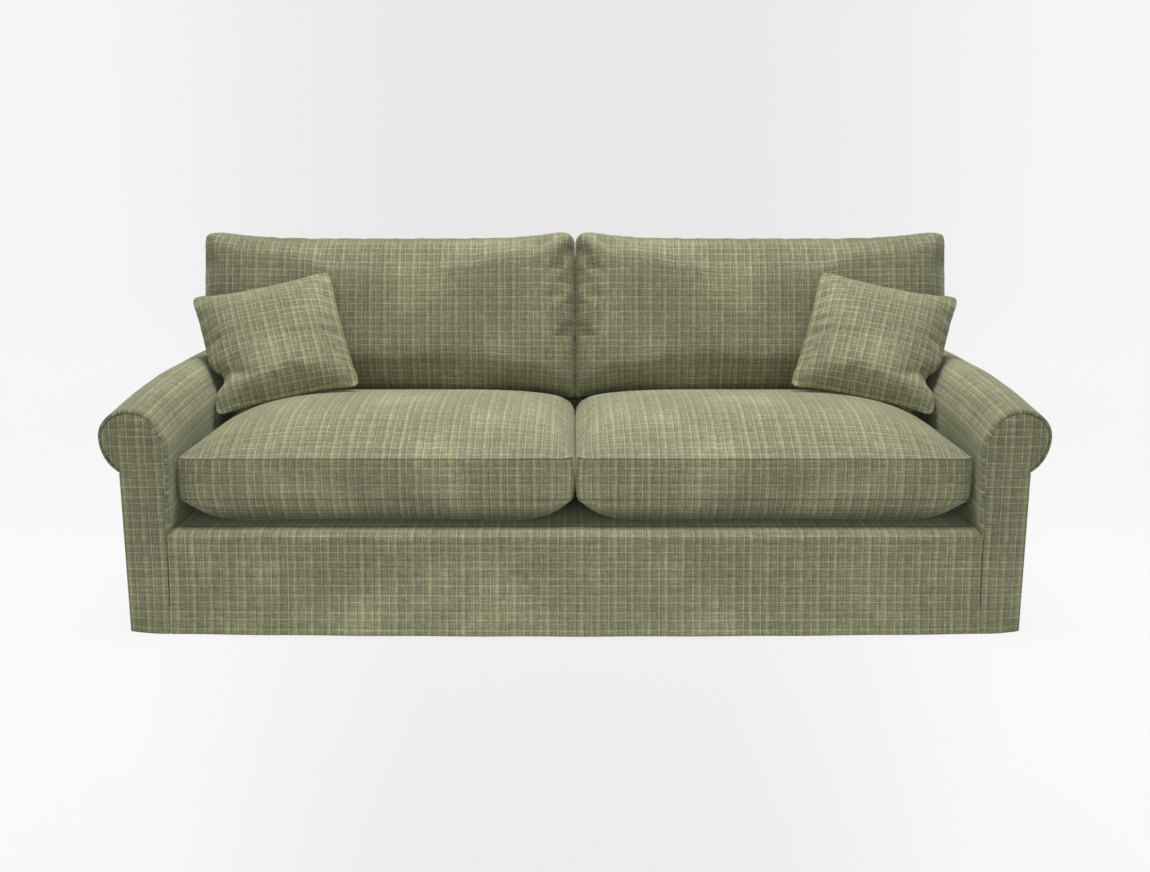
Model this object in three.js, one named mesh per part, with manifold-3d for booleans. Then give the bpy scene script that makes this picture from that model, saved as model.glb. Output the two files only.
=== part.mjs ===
// Four-seater sofa with a loose fabric cover, rolled arms and six loose cushions.
// Millimetres, +Z up, the front faces -Y. The origin is on the floor, under the middle of the sofa.

import * as THREE from 'three';
import { mergeVertices } from 'three/addons/utils/BufferGeometryUtils.js';
import Module from 'manifold-3d';

const wasm = await Module();
wasm.setup();

// Driving dimensions

const fit = 0.3; // gap between two pieces that touch
const cloth = 3; // cover with its lining
const board = 28; // timber rails and posts
const overrun = 5; // how far a cutting tool passes the face that it cuts

const sofa = {
  width: 2300, // over the rolls of the arms
  depth: 994, // arm facings to outside back
  hemGap: 4, // floor to the hem of the cover
  skirtBow: 38, // how far the hem of the front skirt swings forward in the middle
  facingBow: 20, // how far it swings forward at the seam beside the arm facing
};

const arm = {
  width: 120, // inside face to outside panel
  overhang: 46, // roll past the outside panel
  top: 563, // roll at its front
  rise: 40, // how much higher the roll is further back
  riseRun: 550, // length over which it rises
  rollHeight: 68, // roll centre to its top
  underRadius: 98, // curve under the roll
  underDrop: 88, // roll centre to the seam under the roll
  innerReach: 74, // roll centre to its inner side
  outerReach: 78, // roll centre to its outer side
  neckAbove: 10, // top of the hollow where the roll meets the inside face, above the roll centre
  neckBelow: 38, // bottom of that hollow
  spread: 9, // how much further apart the inside faces are at the seat deck
  seamStep: 7, // inside face at the deck to the seam beside the front skirt
};

const deck = {
  top: 258, // cover of the seat deck
  lipRadius: 22, // front edge
  lap: 60, // front skirt carried back over the deck
};

const back = {
  top: 865, // covered frame behind the cushions
  lean: 13, // degrees from upright
  thickness: 194, // inside back at the deck to the outside back
  pad: 20, // wadding under the inside back
  topRadius: 16, // front edge of the top
};

const seat = {
  setback: 45, // skirt front to the front of the cushions
  bandBottom: 327, // seam under the band
  bandTop: 433.5, // seam over the band
  crown: 91.5, // how far the top rises over its seam
  fullness: { middle: 10, arm: 4 }, // how square the crown's shoulders are at its two ends
  corner: 26, // corner radius
  gap: 0.5, // cushion to the middle of the sofa
};

const backrest = {
  foot: 459.5, // rear edge of the underside
  length: 468, // along the lean, to the top corners
  dip: 20, // how much lower the middle of the top is
  thickness: 120, // band
  crown: 80, // how far the front rises over its seam
  ear: 151, // from the foot up to the part that passes over the arm
  corner: 22, // corner radius
  hollow: 10, // radius of the corner under the ear
};

const scatter = {
  side: 395, // corner to corner
  drawn: 14, // how far each side is drawn in at its middle
  thickness: 134,
  edge: 14, // thickness along the seam
  corner: 22, // corner radius
  fromArm: 142, // its middle to the inside face of the arm
  fromBack: 337.42, // its middle to the inside back at that height
  aboveSeat: 129, // its middle to the crown of the seat cushion
  turn: 8.6, // degrees turned towards the middle of the sofa
  lean: 38.8, // degrees from upright
  roll: 12.1, // degrees its outer side hangs down
};

const caseWall = { boxed: 6, scatter: 4, scatterSlack: 2 };

const zip = {
  height: 8,
  thickness: 3,
  seatLength: 600,
  backLength: 700,
  scatterHeight: 3,
  scatterThickness: 2,
  scatterLength: 150,
};

const rail = {
  bottom: 70, // underside of the frame
  topHeight: 46, // rail across the top of the back
  top: 236, // seat rails
  rearTop: 140, // rail under the outside back
  centreDrop: 14, // centre rail below the springs
};

// Places that several pieces share

const halfWidth = sofa.width / 2;
const bodyHalf = halfWidth - arm.overhang;
const armInner = bodyHalf - arm.width;
const armInnerLow = armInner + arm.spread;
const skirtSeam = armInnerLow + arm.seamStep;
const yFront = sofa.skirtBow / 2 - sofa.depth / 2;
const yRear = yFront + sofa.depth;
const innerCloth = cloth + fit;
const frameHalf = bodyHalf - innerCloth;
const frameRear = yRear - innerCloth;
const rollCentre = arm.top - arm.rollHeight;
const rollMiddle = arm.width + arm.overhang - arm.outerReach;
const armRearTop = arm.top + arm.rise;
const leanAngle = THREE.MathUtils.degToRad(back.lean);
const leanSlope = Math.tan(leanAngle);
const leanStretch = 1 / Math.cos(leanAngle);

// Depth of the inside back's face at a height, and of planes set behind it.
const insideBackAt = (z, behind = 0) => (
  yFront + sofa.depth - back.thickness + leanSlope * (z - deck.top) + behind * leanStretch
);

// Finishes

const finish = (colour, roughness, metalness = 0) => new THREE.MeshStandardMaterial({
  color: colour,
  roughness,
  metalness,
});
const plaid = () => finish('#7f7f64', 0.9);
const lining = () => finish('#d8d2c2', 0.9);
const foam = () => finish('#e6dcc0', 0.95);
const timber = () => finish('#b08a5a', 0.7);
const steel = () => finish('#70767c', 0.4, 0.9);
const webbing = () => finish('#4a463e', 0.9);
const blackCloth = () => finish('#1f1f1f', 0.95);
const tape = () => finish('#5f604a', 0.7);

const sofaGroup = new THREE.Group();

function place(name, geometry, material) {
  const mesh = new THREE.Mesh(geometry, material);
  mesh.name = name;
  sofaGroup.add(mesh);
}

// Builds the piece on the +X side, and its mirror image on the -X side.
function placePair(name, geometry, material) {
  place(`${name}_right`, geometry, material());
  place(`${name}_left`, mirrored(geometry), material());
}

// Geometry helpers

// Makes a closed body of corner points and triangles, with its faces pointing out.
function closedBody(points, triangles) {
  let volume = 0;
  const cross = new THREE.Vector3();
  for (const [a, b, c] of triangles) {
    volume += points[a].dot(cross.crossVectors(points[b], points[c]));
  }
  const geometry = new THREE.BufferGeometry();
  const places = points.flatMap((p) => [p.x, p.y, p.z]);
  geometry.setAttribute('position', new THREE.Float32BufferAttribute(places, 3));
  geometry.setIndex(triangles.flatMap(([a, b, c]) => (volume > 0 ? [a, b, c] : [a, c, b])));
  return geometry;
}

function mirrored(geometry) {
  const copy = geometry.index ? geometry.clone() : mergeVertices(geometry);
  copy.scale(-1, 1, 1);
  const index = copy.index.array;
  for (let i = 0; i < index.length; i += 3) {
    [index[i + 1], index[i + 2]] = [index[i + 2], index[i + 1]];
  }
  return copy;
}

function block([x0, x1], [y0, y1], [z0, z1]) {
  const box = new THREE.BoxGeometry(x1 - x0, y1 - y0, z1 - z0);
  return box.translate((x0 + x1) / 2, (y0 + y1) / 2, (z0 + z1) / 2);
}

// An outline of [y, z] points carried along X.
function prismAlongX(outline, from, to) {
  const shape = new THREE.Shape(outline.map(([y, z]) => new THREE.Vector2(y, z)));
  const solid = new THREE.ExtrudeGeometry(shape, { depth: to - from, bevelEnabled: false });
  const axes = new THREE.Matrix4().makeBasis(
    new THREE.Vector3(0, 1, 0),
    new THREE.Vector3(0, 0, 1),
    new THREE.Vector3(1, 0, 0),
  );
  return solid.applyMatrix4(axes).translate(from, 0, 0);
}

// An outline of [x, z] points carried along Y.
function prismAlongY(outline, from, to) {
  const shape = new THREE.Shape(outline.map(([x, z]) => new THREE.Vector2(x, z)));
  const solid = new THREE.ExtrudeGeometry(shape, { depth: to - from, bevelEnabled: false });
  const axes = new THREE.Matrix4().makeBasis(
    new THREE.Vector3(1, 0, 0),
    new THREE.Vector3(0, 0, 1),
    new THREE.Vector3(0, -1, 0),
  );
  return solid.applyMatrix4(axes).translate(0, to, 0);
}

function toSolid(geometry) {
  const bare = geometry.clone();
  bare.deleteAttribute('normal');
  bare.deleteAttribute('uv');
  const merged = mergeVertices(bare);
  return new wasm.Manifold(new wasm.Mesh({
    numProp: 3,
    vertProperties: new Float32Array(merged.attributes.position.array),
    triVerts: new Uint32Array(merged.index.array),
  }));
}

function fromSolid(solid) {
  const mesh = solid.getMesh();
  const geometry = new THREE.BufferGeometry();
  geometry.setAttribute('position', new THREE.BufferAttribute(new Float32Array(mesh.vertProperties), 3));
  geometry.setIndex(new THREE.BufferAttribute(new Uint32Array(mesh.triVerts), 1));
  return geometry;
}

function cut(geometry, ...tools) {
  return fromSolid(tools.reduce((solid, tool) => solid.subtract(toSolid(tool)), toSolid(geometry)));
}

function joined(first, ...others) {
  return fromSolid(others.reduce((solid, other) => solid.add(toSolid(other)), toSolid(first)));
}

// A cloth between two open grids of points, closed round its rim.
function sheetBetween(faceRows, liningRows) {
  const rows = faceRows.length;
  const columns = faceRows[0].length;
  const points = [...faceRows.flat(), ...liningRows.flat()];
  const at = (side, r, c) => side * rows * columns + r * columns + c;
  const triangles = [];
  const quad = (a, b, c, d) => triangles.push([a, b, c], [a, c, d]);
  for (let r = 0; r + 1 < rows; r += 1) {
    for (let c = 0; c + 1 < columns; c += 1) {
      quad(at(0, r, c), at(0, r, c + 1), at(0, r + 1, c + 1), at(0, r + 1, c));
      quad(at(1, r, c), at(1, r + 1, c), at(1, r + 1, c + 1), at(1, r, c + 1));
    }
  }
  for (let c = 0; c + 1 < columns; c += 1) {
    quad(at(0, 0, c + 1), at(0, 0, c), at(1, 0, c), at(1, 0, c + 1));
    quad(at(0, rows - 1, c), at(0, rows - 1, c + 1), at(1, rows - 1, c + 1), at(1, rows - 1, c));
  }
  for (let r = 0; r + 1 < rows; r += 1) {
    quad(at(0, r, 0), at(0, r + 1, 0), at(1, r + 1, 0), at(1, r, 0));
    quad(at(0, r + 1, columns - 1), at(0, r, columns - 1), at(1, r, columns - 1), at(1, r + 1, columns - 1));
  }
  return closedBody(points, triangles);
}

// Rings of equal length, joined one to the next and closed at both ends by a fan to the given point.
function stackedRings(rings, firstPole, lastPole) {
  const count = rings[0].length;
  const points = [...rings.flat(), firstPole, lastPole];
  const first = rings.length * count;
  const last = first + 1;
  const triangles = [];
  for (let i = 0; i < count; i += 1) {
    const j = (i + 1) % count;
    triangles.push([first, j, i]);
    for (let r = 0; r + 1 < rings.length; r += 1) {
      const [a, b] = [r * count, (r + 1) * count];
      triangles.push([a + i, a + j, b + j], [a + i, b + j, b + i]);
    }
    const end = (rings.length - 1) * count;
    triangles.push([last, end + i, end + j]);
  }
  return closedBody(points, triangles);
}

// Moves every point of an open line sideways, to its left as the line runs.
function offsetLine(line, distance) {
  return line.map(([x, y], i) => {
    const [ax, ay] = line[Math.max(i - 1, 0)];
    const [bx, by] = line[Math.min(i + 1, line.length - 1)];
    const run = Math.hypot(bx - ax, by - ay);
    return [x - (distance * (by - ay)) / run, y + (distance * (bx - ax)) / run];
  });
}

// Corners [x, y, radius, steps] rounded with arcs, and the sides between them divided evenly.
function roundedOutline(corners, sideSteps) {
  const points = [];
  const count = corners.length;
  const arcs = corners.map(([x, y, radius, steps], i) => {
    const corner = new THREE.Vector2(x, y);
    const before = new THREE.Vector2(...corners[(i + count - 1) % count]).sub(corner).normalize();
    const after = new THREE.Vector2(...corners[(i + 1) % count]).sub(corner).normalize();
    const half = Math.acos(THREE.MathUtils.clamp(before.dot(after), -1, 1)) / 2;
    const reach = radius / Math.tan(half);
    const start = before.clone().multiplyScalar(reach).add(corner);
    const end = after.clone().multiplyScalar(reach).add(corner);
    return { corner, start, end, steps };
  });
  arcs.forEach(({ corner, start, end, steps }, i) => {
    for (let s = 0; s <= steps; s += 1) {
      const t = s / steps;
      const blend = (a, b, c) => (1 - t) ** 2 * a + 2 * t * (1 - t) * b + t ** 2 * c;
      points.push([blend(start.x, corner.x, end.x), blend(start.y, corner.y, end.y)]);
    }
    const next = arcs[(i + 1) % count].start;
    for (let s = 1; s < sideSteps; s += 1) {
      const between = end.clone().lerp(next, s / sideSteps);
      points.push([between.x, between.y]);
    }
  });
  return points;
}

// The corner that draws the side between two corners in by a dip, on its inner (left) side.
function dipBetween([ax, ay], [bx, by], dip, steps) {
  const halfSide = Math.hypot(bx - ax, by - ay) / 2;
  const depth = 2 * dip;
  const x = (ax + bx) / 2 - (depth * (by - ay)) / (2 * halfSide);
  const y = (ay + by) / 2 + (depth * (bx - ax)) / (2 * halfSide);
  const radius = (dipShare * Math.hypot(halfSide, depth) * halfSide) / depth;
  return [x, y, radius, steps];
}
const dipShare = 0.8; // of the side's length that the dip's curve takes up

// Rolled arm: its section is given by how far its two sides lie out from the inside face at each height

const rollShares = [0, 0.26, 0.5, 0.71, 0.87, 0.97, 1]; // of the roll's height, from its centre up
const underShares = [1, 0.75, 0.5, 0.25]; // of the drop under the roll, from its seam up

const armInnerAt = (z) => {
  const above = Math.min((z - rollCentre) / arm.rollHeight, 1);
  const neckTop = rollCentre + arm.neckAbove;
  const neckFoot = rollCentre - arm.neckBelow;
  const rollSide = (share) => rollMiddle - arm.innerReach * Math.sqrt(1 - share * share);
  if (z >= neckTop) {
    return rollSide(above);
  }
  if (z >= neckFoot) {
    const t = (z - neckFoot) / (neckTop - neckFoot);
    return rollSide(arm.neckAbove / arm.rollHeight) * t ** 3;
  }
  return (arm.spread * (neckFoot - z)) / (neckFoot - deck.top);
};

const armOuterAt = (z) => {
  const above = (z - rollCentre) / arm.rollHeight;
  if (above >= 0) {
    return rollMiddle + arm.outerReach * Math.sqrt(Math.max(1 - above * above, 0));
  }
  const below = Math.min(rollCentre - z, arm.underDrop);
  const side = Math.sqrt(arm.underRadius ** 2 - below ** 2);
  const seamSide = Math.sqrt(arm.underRadius ** 2 - arm.underDrop ** 2);
  const scale = (rollMiddle + arm.outerReach - arm.width) / (arm.underRadius - seamSide);
  return arm.width + scale * (side - seamSide);
};

const underHeights = underShares.map((share) => rollCentre - share * arm.underDrop);
const rollHeights = rollShares.map((share) => rollCentre + share * arm.rollHeight);
const neckMiddle = rollCentre + (arm.neckAbove - arm.neckBelow) / 2;
const faceHeights = [deck.top + fit, rollCentre - arm.neckBelow, neckMiddle];
const innerHeights = [...faceHeights, ...rollHeights.filter((z) => z >= rollCentre + arm.neckAbove)];
const outerHeights = [...rollHeights].reverse().slice(1).concat([...underHeights].reverse());

// The roll lifts towards the back, in straight runs between the stations along the arm.
const armStationShares = [0, 0.06, 0.14, 0.24, 0.36, 0.55, 1]; // of the arm's length
const armFront = yFront + innerCloth;
const armStations = armStationShares.map((share) => armFront + share * (frameRear - armFront));
const easedRise = (y) => arm.rise * (1 - (1 - Math.min((y - armFront) / arm.riseRun, 1)) ** 2);
const riseAt = (y) => {
  const following = armStations.findIndex((station) => station > y);
  const next = THREE.MathUtils.clamp(following, 1, armStations.length - 1);
  const [from, to] = [armStations[next - 1], armStations[next]];
  const t = THREE.MathUtils.clamp((y - from) / (to - from), 0, 1);
  return THREE.MathUtils.lerp(easedRise(from), easedRise(to), y >= armStations.at(-1) ? 1 : t);
};

// The section's line, from the deck up the inside face, over the roll and down to the seam under it.
const sectionLine = (inset = 0) => offsetLine([
  ...innerHeights.map((z) => [armInnerAt(z), z]),
  ...outerHeights.map((z) => [armOuterAt(z), z]),
], -inset);

// A section point carried to a place along the arm: heights above the deck lift with the roll.
const onArm = ([out, z], y) => {
  const lifted = THREE.MathUtils.clamp((z - deck.top) / (rollCentre - arm.underDrop - deck.top), 0, 1);
  return new THREE.Vector3(armInner + out, y, z + riseAt(y) * lifted);
};

function makeArmCover() {
  const rowsOf = (inset) => armStations.map((y) => sectionLine(inset).map((point) => onArm(point, y)));
  placePair('arm_cover', cut(sheetBetween(rowsOf(0), rowsOf(cloth)), postRoom()), plaid);
}

// The hem swings forward: most in the middle, less beside the arm facings and not at all at the corners.
const hemSwingAt = (x, z) => {
  const down = THREE.MathUtils.clamp(1 - (z - sofa.hemGap) / (deck.top - deck.lipRadius - sofa.hemGap), 0, 1);
  const out = Math.abs(x);
  const inner = sofa.facingBow + (sofa.skirtBow - sofa.facingBow) * (1 - (out / skirtSeam) ** 2);
  const outer = sofa.facingBow * (1 - ((out - skirtSeam) / (bodyHalf - skirtSeam)) ** 2);
  return (out < skirtSeam ? inner : outer) * down ** 2;
};

// Arm facing: the flat end panel of the arm, from the hem to the top of the roll

const facing = {
  seamTurn: 13, // height over which its inner edge turns from the skirt seam to the inside face
  rowShares: [0, 0.3, 0.65, 1], // heights of its rows below the deck
  columnShares: [0, 0.33, 0.66, 1], // across the panel
  tipShare: 0.985, // its last row, of the roll's height
};

function makeArmFacing() {
  const seamTop = deck.top + fit;
  const lowHeights = facing.rowShares.map((share) => sofa.hemGap + share * (seamTop - sofa.hemGap));
  const tip = rollCentre + facing.tipShare * arm.rollHeight;
  const highHeights = [seamTop + facing.seamTurn, ...underHeights, ...rollHeights.slice(0, -1), tip];
  const rows = [
    ...lowHeights.map((z) => [z, skirtSeam - armInner, arm.width]),
    ...highHeights.map((z) => [z, armInnerAt(z), armOuterAt(z)]),
  ];
  const layer = (behind) => rows.map(([z, inner, outer]) => facing.columnShares.map((share) => {
    const x = armInner + inner + share * (outer - inner);
    return new THREE.Vector3(x, yFront - hemSwingAt(Math.min(x, bodyHalf), z) + behind, z);
  }));
  placePair('arm_facing', sheetBetween(layer(0), layer(cloth)), plaid);
}

function makeOutsideArmCover() {
  const heightShares = [0, 0.3, 0.65, 1];
  const seam = rollCentre - arm.underDrop - fit;
  const layer = (inside) => armStations.map((y) => heightShares.map((share) => {
    const z = sofa.hemGap + share * (seam + riseAt(y) - sofa.hemGap);
    return new THREE.Vector3(bodyHalf - inside, y, z);
  }));
  placePair('outside_arm_cover', sheetBetween(layer(0), layer(cloth)), plaid);
}

// Seat front and deck

const lipAngles = [0, 30, 60, 90];
const lipLine = (inset) => lipAngles.map((degrees) => {
  const angle = THREE.MathUtils.degToRad(degrees);
  const radius = deck.lipRadius - inset;
  const [y, z] = [yFront + deck.lipRadius, deck.top - deck.lipRadius];
  return [y - radius * Math.cos(angle), z + radius * Math.sin(angle)];
});

function makeFrontSkirt() {
  const skirtHalf = skirtSeam - fit;
  const columns = 12;
  const heightShares = [0, 0.33, 0.66];
  const layer = (inset) => {
    const lip = lipLine(inset);
    const lipFoot = lip[0][1];
    const upright = heightShares.map((share) => {
      const z = sofa.hemGap + share * (lipFoot - sofa.hemGap);
      return [yFront + inset, z];
    });
    const lap = [yFront + deck.lap, deck.top - inset];
    return [...upright, ...lip, lap].map(([y, z]) => Array.from({ length: columns + 1 }, (_, c) => {
      const x = ((2 * c) / columns - 1) * skirtHalf;
      return new THREE.Vector3(x, y - hemSwingAt(x, z), z);
    }));
  };
  place('front_skirt', sheetBetween(layer(0), layer(cloth)), plaid());
}

const border = { thickness: 20, bottom: 100 }; // wadding behind the front edge of the deck
const borderFront = yFront + innerCloth;
const borderRear = borderFront + border.thickness;
const railFront = borderRear + fit;
const railRear = railFront + board;
const deckRear = insideBackAt(rail.top, innerCloth + back.pad + fit);

function makeDeck() {
  const coverY = [yFront + deck.lap + fit, deckRear];
  const coverX = [-armInnerLow + fit, armInnerLow - fit];
  place('platform_cover', block(coverX, coverY, [deck.top - cloth, deck.top]), plaid());
  const padHalf = skirtSeam - 2 * fit;
  const padZ = [spring.top + fit, deck.top - innerCloth];
  place('deck_pad', block([-padHalf, padHalf], [railFront, deckRear], padZ), foam());
  const borderOutline = [
    [borderFront, border.bottom],
    [borderRear, border.bottom],
    [borderRear, deck.top - innerCloth],
    ...lipLine(innerCloth).reverse(),
  ];
  place('front_border_pad', prismAlongX(borderOutline, -padHalf, padHalf), foam());
}

// Springs: zigzag wires from the front rail to the rear seat rail, tied across

const spring = {
  wire: 3.8,
  swing: 24, // each side of its own line
  count: 4, // under each seat cushion
  bends: 14,
  flatShare: 0.2, // straight top of each bend, each side of its middle
  tieShares: [0.3, 0.7], // tie wires along the springs
  edge: 70, // first and last spring in from the ends of the set
};
spring.bottom = rail.top + fit;
spring.top = spring.bottom + spring.wire;

const rearSeatRail = { front: insideBackAt(rail.top, innerCloth + back.pad + 3 * fit) };
rearSeatRail.rear = rearSeatRail.front + board;
const tuckRail = { inset: 19, height: 40 };
tuckRail.inner = armInner + tuckRail.inset;

function wireAlong(points, sideCount = 4) {
  const radius = spring.wire / 2;
  const rings = points.map((p, i) => {
    const before = points[Math.max(i - 1, 0)];
    const after = points[Math.min(i + 1, points.length - 1)];
    const along = after.clone().sub(before).normalize();
    const side = new THREE.Vector3(-along.y, along.x, 0);
    return Array.from({ length: sideCount }, (_, k) => {
      const angle = (2 * Math.PI * (k + 0.5)) / sideCount;
      const reach = radius / Math.cos(Math.PI / sideCount);
      const offset = side.clone().multiplyScalar(reach * Math.cos(angle));
      return p.clone().add(offset).add(new THREE.Vector3(0, 0, reach * Math.sin(angle)));
    });
  });
  return stackedRings(rings, points[0], points[points.length - 1]);
}

function makeSprings() {
  const start = railFront + board / 2;
  const end = rearSeatRail.front + board / 2;
  const z = (spring.bottom + spring.top) / 2;
  const first = board / 2 + spring.edge;
  const last = tuckRail.inner - spring.edge;
  const wires = [];
  for (let i = 0; i < spring.count; i += 1) {
    const x = first + ((last - first) * i) / (spring.count - 1);
    const points = [];
    for (let b = 0; b <= spring.bends; b += 1) {
      const y = start + ((end - start) * b) / spring.bends;
      const inside = b > 0 && b < spring.bends;
      const side = b % 2 === 0 ? -spring.swing : spring.swing;
      const half = ((end - start) / spring.bends) * spring.flatShare;
      if (inside) {
        points.push(new THREE.Vector3(x + side, y - half, z), new THREE.Vector3(x + side, y + half, z));
      } else {
        points.push(new THREE.Vector3(x, y, z));
      }
    }
    wires.push(wireAlong(points));
  }
  const ties = spring.tieShares.map((share) => {
    const y = start + share * (end - start);
    const reach = spring.swing + spring.wire;
    return wireAlong([new THREE.Vector3(first - reach, y, z), new THREE.Vector3(last + reach, y, z)]);
  });
  placePair('seat_springs', joined(...wires, ...ties), steel);
}

// Timber frame

const frontBoard = { front: armFront, rear: armFront + board };
// Out from the inside face, and under the roll's centre
const rollBoard = { inner: 30, outer: 110, below: 55, thickness: 22 };
const rearRailFront = frameRear - board;
const postTop = back.top - innerCloth - rail.topHeight;

function makeSeatFrame() {
  const seatZ = [rail.bottom, rail.top];
  const railHalf = skirtSeam - 2 * fit;
  place('front_rail', block([-railHalf, railHalf], [railFront, railRear], seatZ), timber());
  const rearHalf = frameHalf - board - fit;
  const rearX = [-rearHalf, rearHalf];
  place('rear_seat_rail', block(rearX, [rearSeatRail.front, rearSeatRail.rear], seatZ), timber());
  const lowZ = [rail.bottom, rail.rearTop];
  place('rear_bottom_rail', block(rearX, [rearRailFront, frameRear], lowZ), timber());
  const sideY = [frontBoard.rear + fit, frameRear];
  placePair('side_rail', block([frameHalf - board, frameHalf], sideY, seatZ), timber);
  const centreY = [railRear + fit, rearSeatRail.front - fit];
  const centreZ = [rail.bottom, rail.top - rail.centreDrop];
  place('centre_rail', block([-board / 2, board / 2], centreY, centreZ), timber());
}

function makeArmFrame() {
  const inset = innerCloth + fit + riseAt(frontBoard.rear);
  const upper = sectionLine(inset).map(([out, z]) => [armInner + out, z]);
  const outline = [
    [skirtSeam - fit, rail.bottom],
    [skirtSeam - fit, deck.top + fit],
    ...upper.filter(([, z]) => z > deck.top + fit),
    [frameHalf, rollCentre - arm.underDrop],
    [frameHalf, rail.bottom],
  ];
  placePair('arm_front_board', prismAlongY(outline, frontBoard.front, frontBoard.rear), timber);

  placePair('arm_roll_board', rollBoardAt(), timber);
  placePair('arm_tuck_rail', tuckRailAt(), timber);
}

// A rail of the arm, or the room that it needs with a gap all round.
function rollBoardAt(gap = 0) {
  const z = rollCentre - rollBoard.below;
  const x = [armInner + rollBoard.inner - gap, armInner + rollBoard.outer + gap];
  const y = [frontBoard.rear + fit - gap, postFrontAt(z) - fit + gap];
  return block(x, y, [z - gap, z + rollBoard.thickness + gap]);
}

function tuckRailAt(gap = 0) {
  const x = [tuckRail.inner - gap, tuckRail.inner + board + gap];
  const y = [frontBoard.rear + fit - gap, rearSeatRail.rear + gap];
  return block(x, y, [rail.top + fit - gap, rail.top + tuckRail.height + gap]);
}

// The room that a back post needs where it passes through the arm and the cover.
function postRoom() {
  const x = [frameHalf - board - fit, frameHalf + fit];
  return block(x, [postFrontAt(rail.top) - fit, frameRear + fit], [rail.top, postTop + fit]);
}

const webbingThickness = 2;
const webbingBehind = innerCloth + back.pad + fit;
const postBehind = webbingBehind + webbingThickness + fit;
const postFrontAt = (z) => insideBackAt(z, postBehind);

function makeBackFrame() {
  const sideOutline = [
    [postFrontAt(rail.top + fit), rail.top + fit],
    [postFrontAt(postTop), postTop],
    [frameRear, postTop],
    [frameRear, rail.top + fit],
  ];
  placePair('back_post', prismAlongX(sideOutline, frameHalf - board, frameHalf), timber);
  const centreOutline = [
    ...sideOutline.slice(0, 3),
    [frameRear, rail.rearTop + fit],
    [rearRailFront, rail.rearTop + fit],
    [rearSeatRail.rear, rail.top + fit],
  ];
  place('back_post_centre', prismAlongX(centreOutline, -board / 2, board / 2), timber());
  const railTop = back.top - innerCloth;
  const topOutline = [
    [postFrontAt(postTop + fit), postTop + fit],
    [postFrontAt(railTop), railTop],
    [frameRear, railTop],
    [frameRear, postTop + fit],
  ];
  place('back_top_rail', prismAlongX(topOutline, -frameHalf, frameHalf), timber());
}

// Back webbing: straps woven both ways, stapled to the seat rail and the top rail

const strap = { width: 60, columns: 8, rows: 3 };

function makeBackWebbing() {
  const bottom = spring.top + fit;
  const height = (back.top - innerCloth - bottom - strap.width / 2) * leanStretch;
  const half = armInner - strap.width / 2;
  const depthRange = [-webbingThickness, 0];
  const straps = [];
  for (let c = 0; c <= strap.columns; c += 1) {
    const x = -half + ((2 * half - strap.width) * c) / strap.columns;
    straps.push(block([x, x + strap.width], depthRange, [0, height]));
  }
  for (let r = 0; r <= strap.rows; r += 1) {
    const z = ((height - strap.width) * r) / strap.rows;
    straps.push(block([-half, half], depthRange, [z, z + strap.width]));
  }
  const lattice = joined(...straps).rotateX(-leanAngle);
  const foot = insideBackAt(bottom, webbingBehind + webbingThickness);
  place('back_webbing', lattice.translate(0, foot, bottom), webbing());
}

// Padding

const slab = 15; // wadding on the inside face of the arm

function makeArmPad() {
  const inset = innerCloth;
  const line = sectionLine(inset).filter(([, z]) => z < arm.top);
  const foot = deck.top + fit;
  const seam = rollCentre - arm.underDrop;
  const closing = [
    [arm.width - inset, seam],
    [inset + slab, seam],
    [arm.spread + inset + slab, foot],
  ];
  const ring = [[armInnerAt(foot) + inset, foot], ...line.slice(1), ...closing];
  const start = frontBoard.rear + fit;
  const stations = [start, ...armStations.filter((y) => y > start + slab)];
  const rings = stations.map((y) => ring.map((point) => onArm(point, y)));
  const middles = [rings[0], rings.at(-1)].map((points) => onArm([rollMiddle, rollCentre], points[0].y));
  const pad = stackedRings(rings, ...middles);
  placePair('arm_pad', cut(pad, postRoom(), rollBoardAt(fit), tuckRailAt(fit)), foam);
}

// Inside back: a cover that wraps the back frame, wider above the arms than between them

const wingBottom = armRearTop + fit;
const betweenArms = armInner - fit;

// Blocks on both sides that leave room for the arms, up to a height.
const armRooms = (inner, z) => [-1, 1].map((side) => {
  const x = [side * inner, side * (halfWidth + overrun)].sort((a, b) => a - b);
  return block(x, [yFront, yRear + overrun], [rail.bottom, z]);
});

const postRooms = () => [postRoom(), mirrored(postRoom())];

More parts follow.
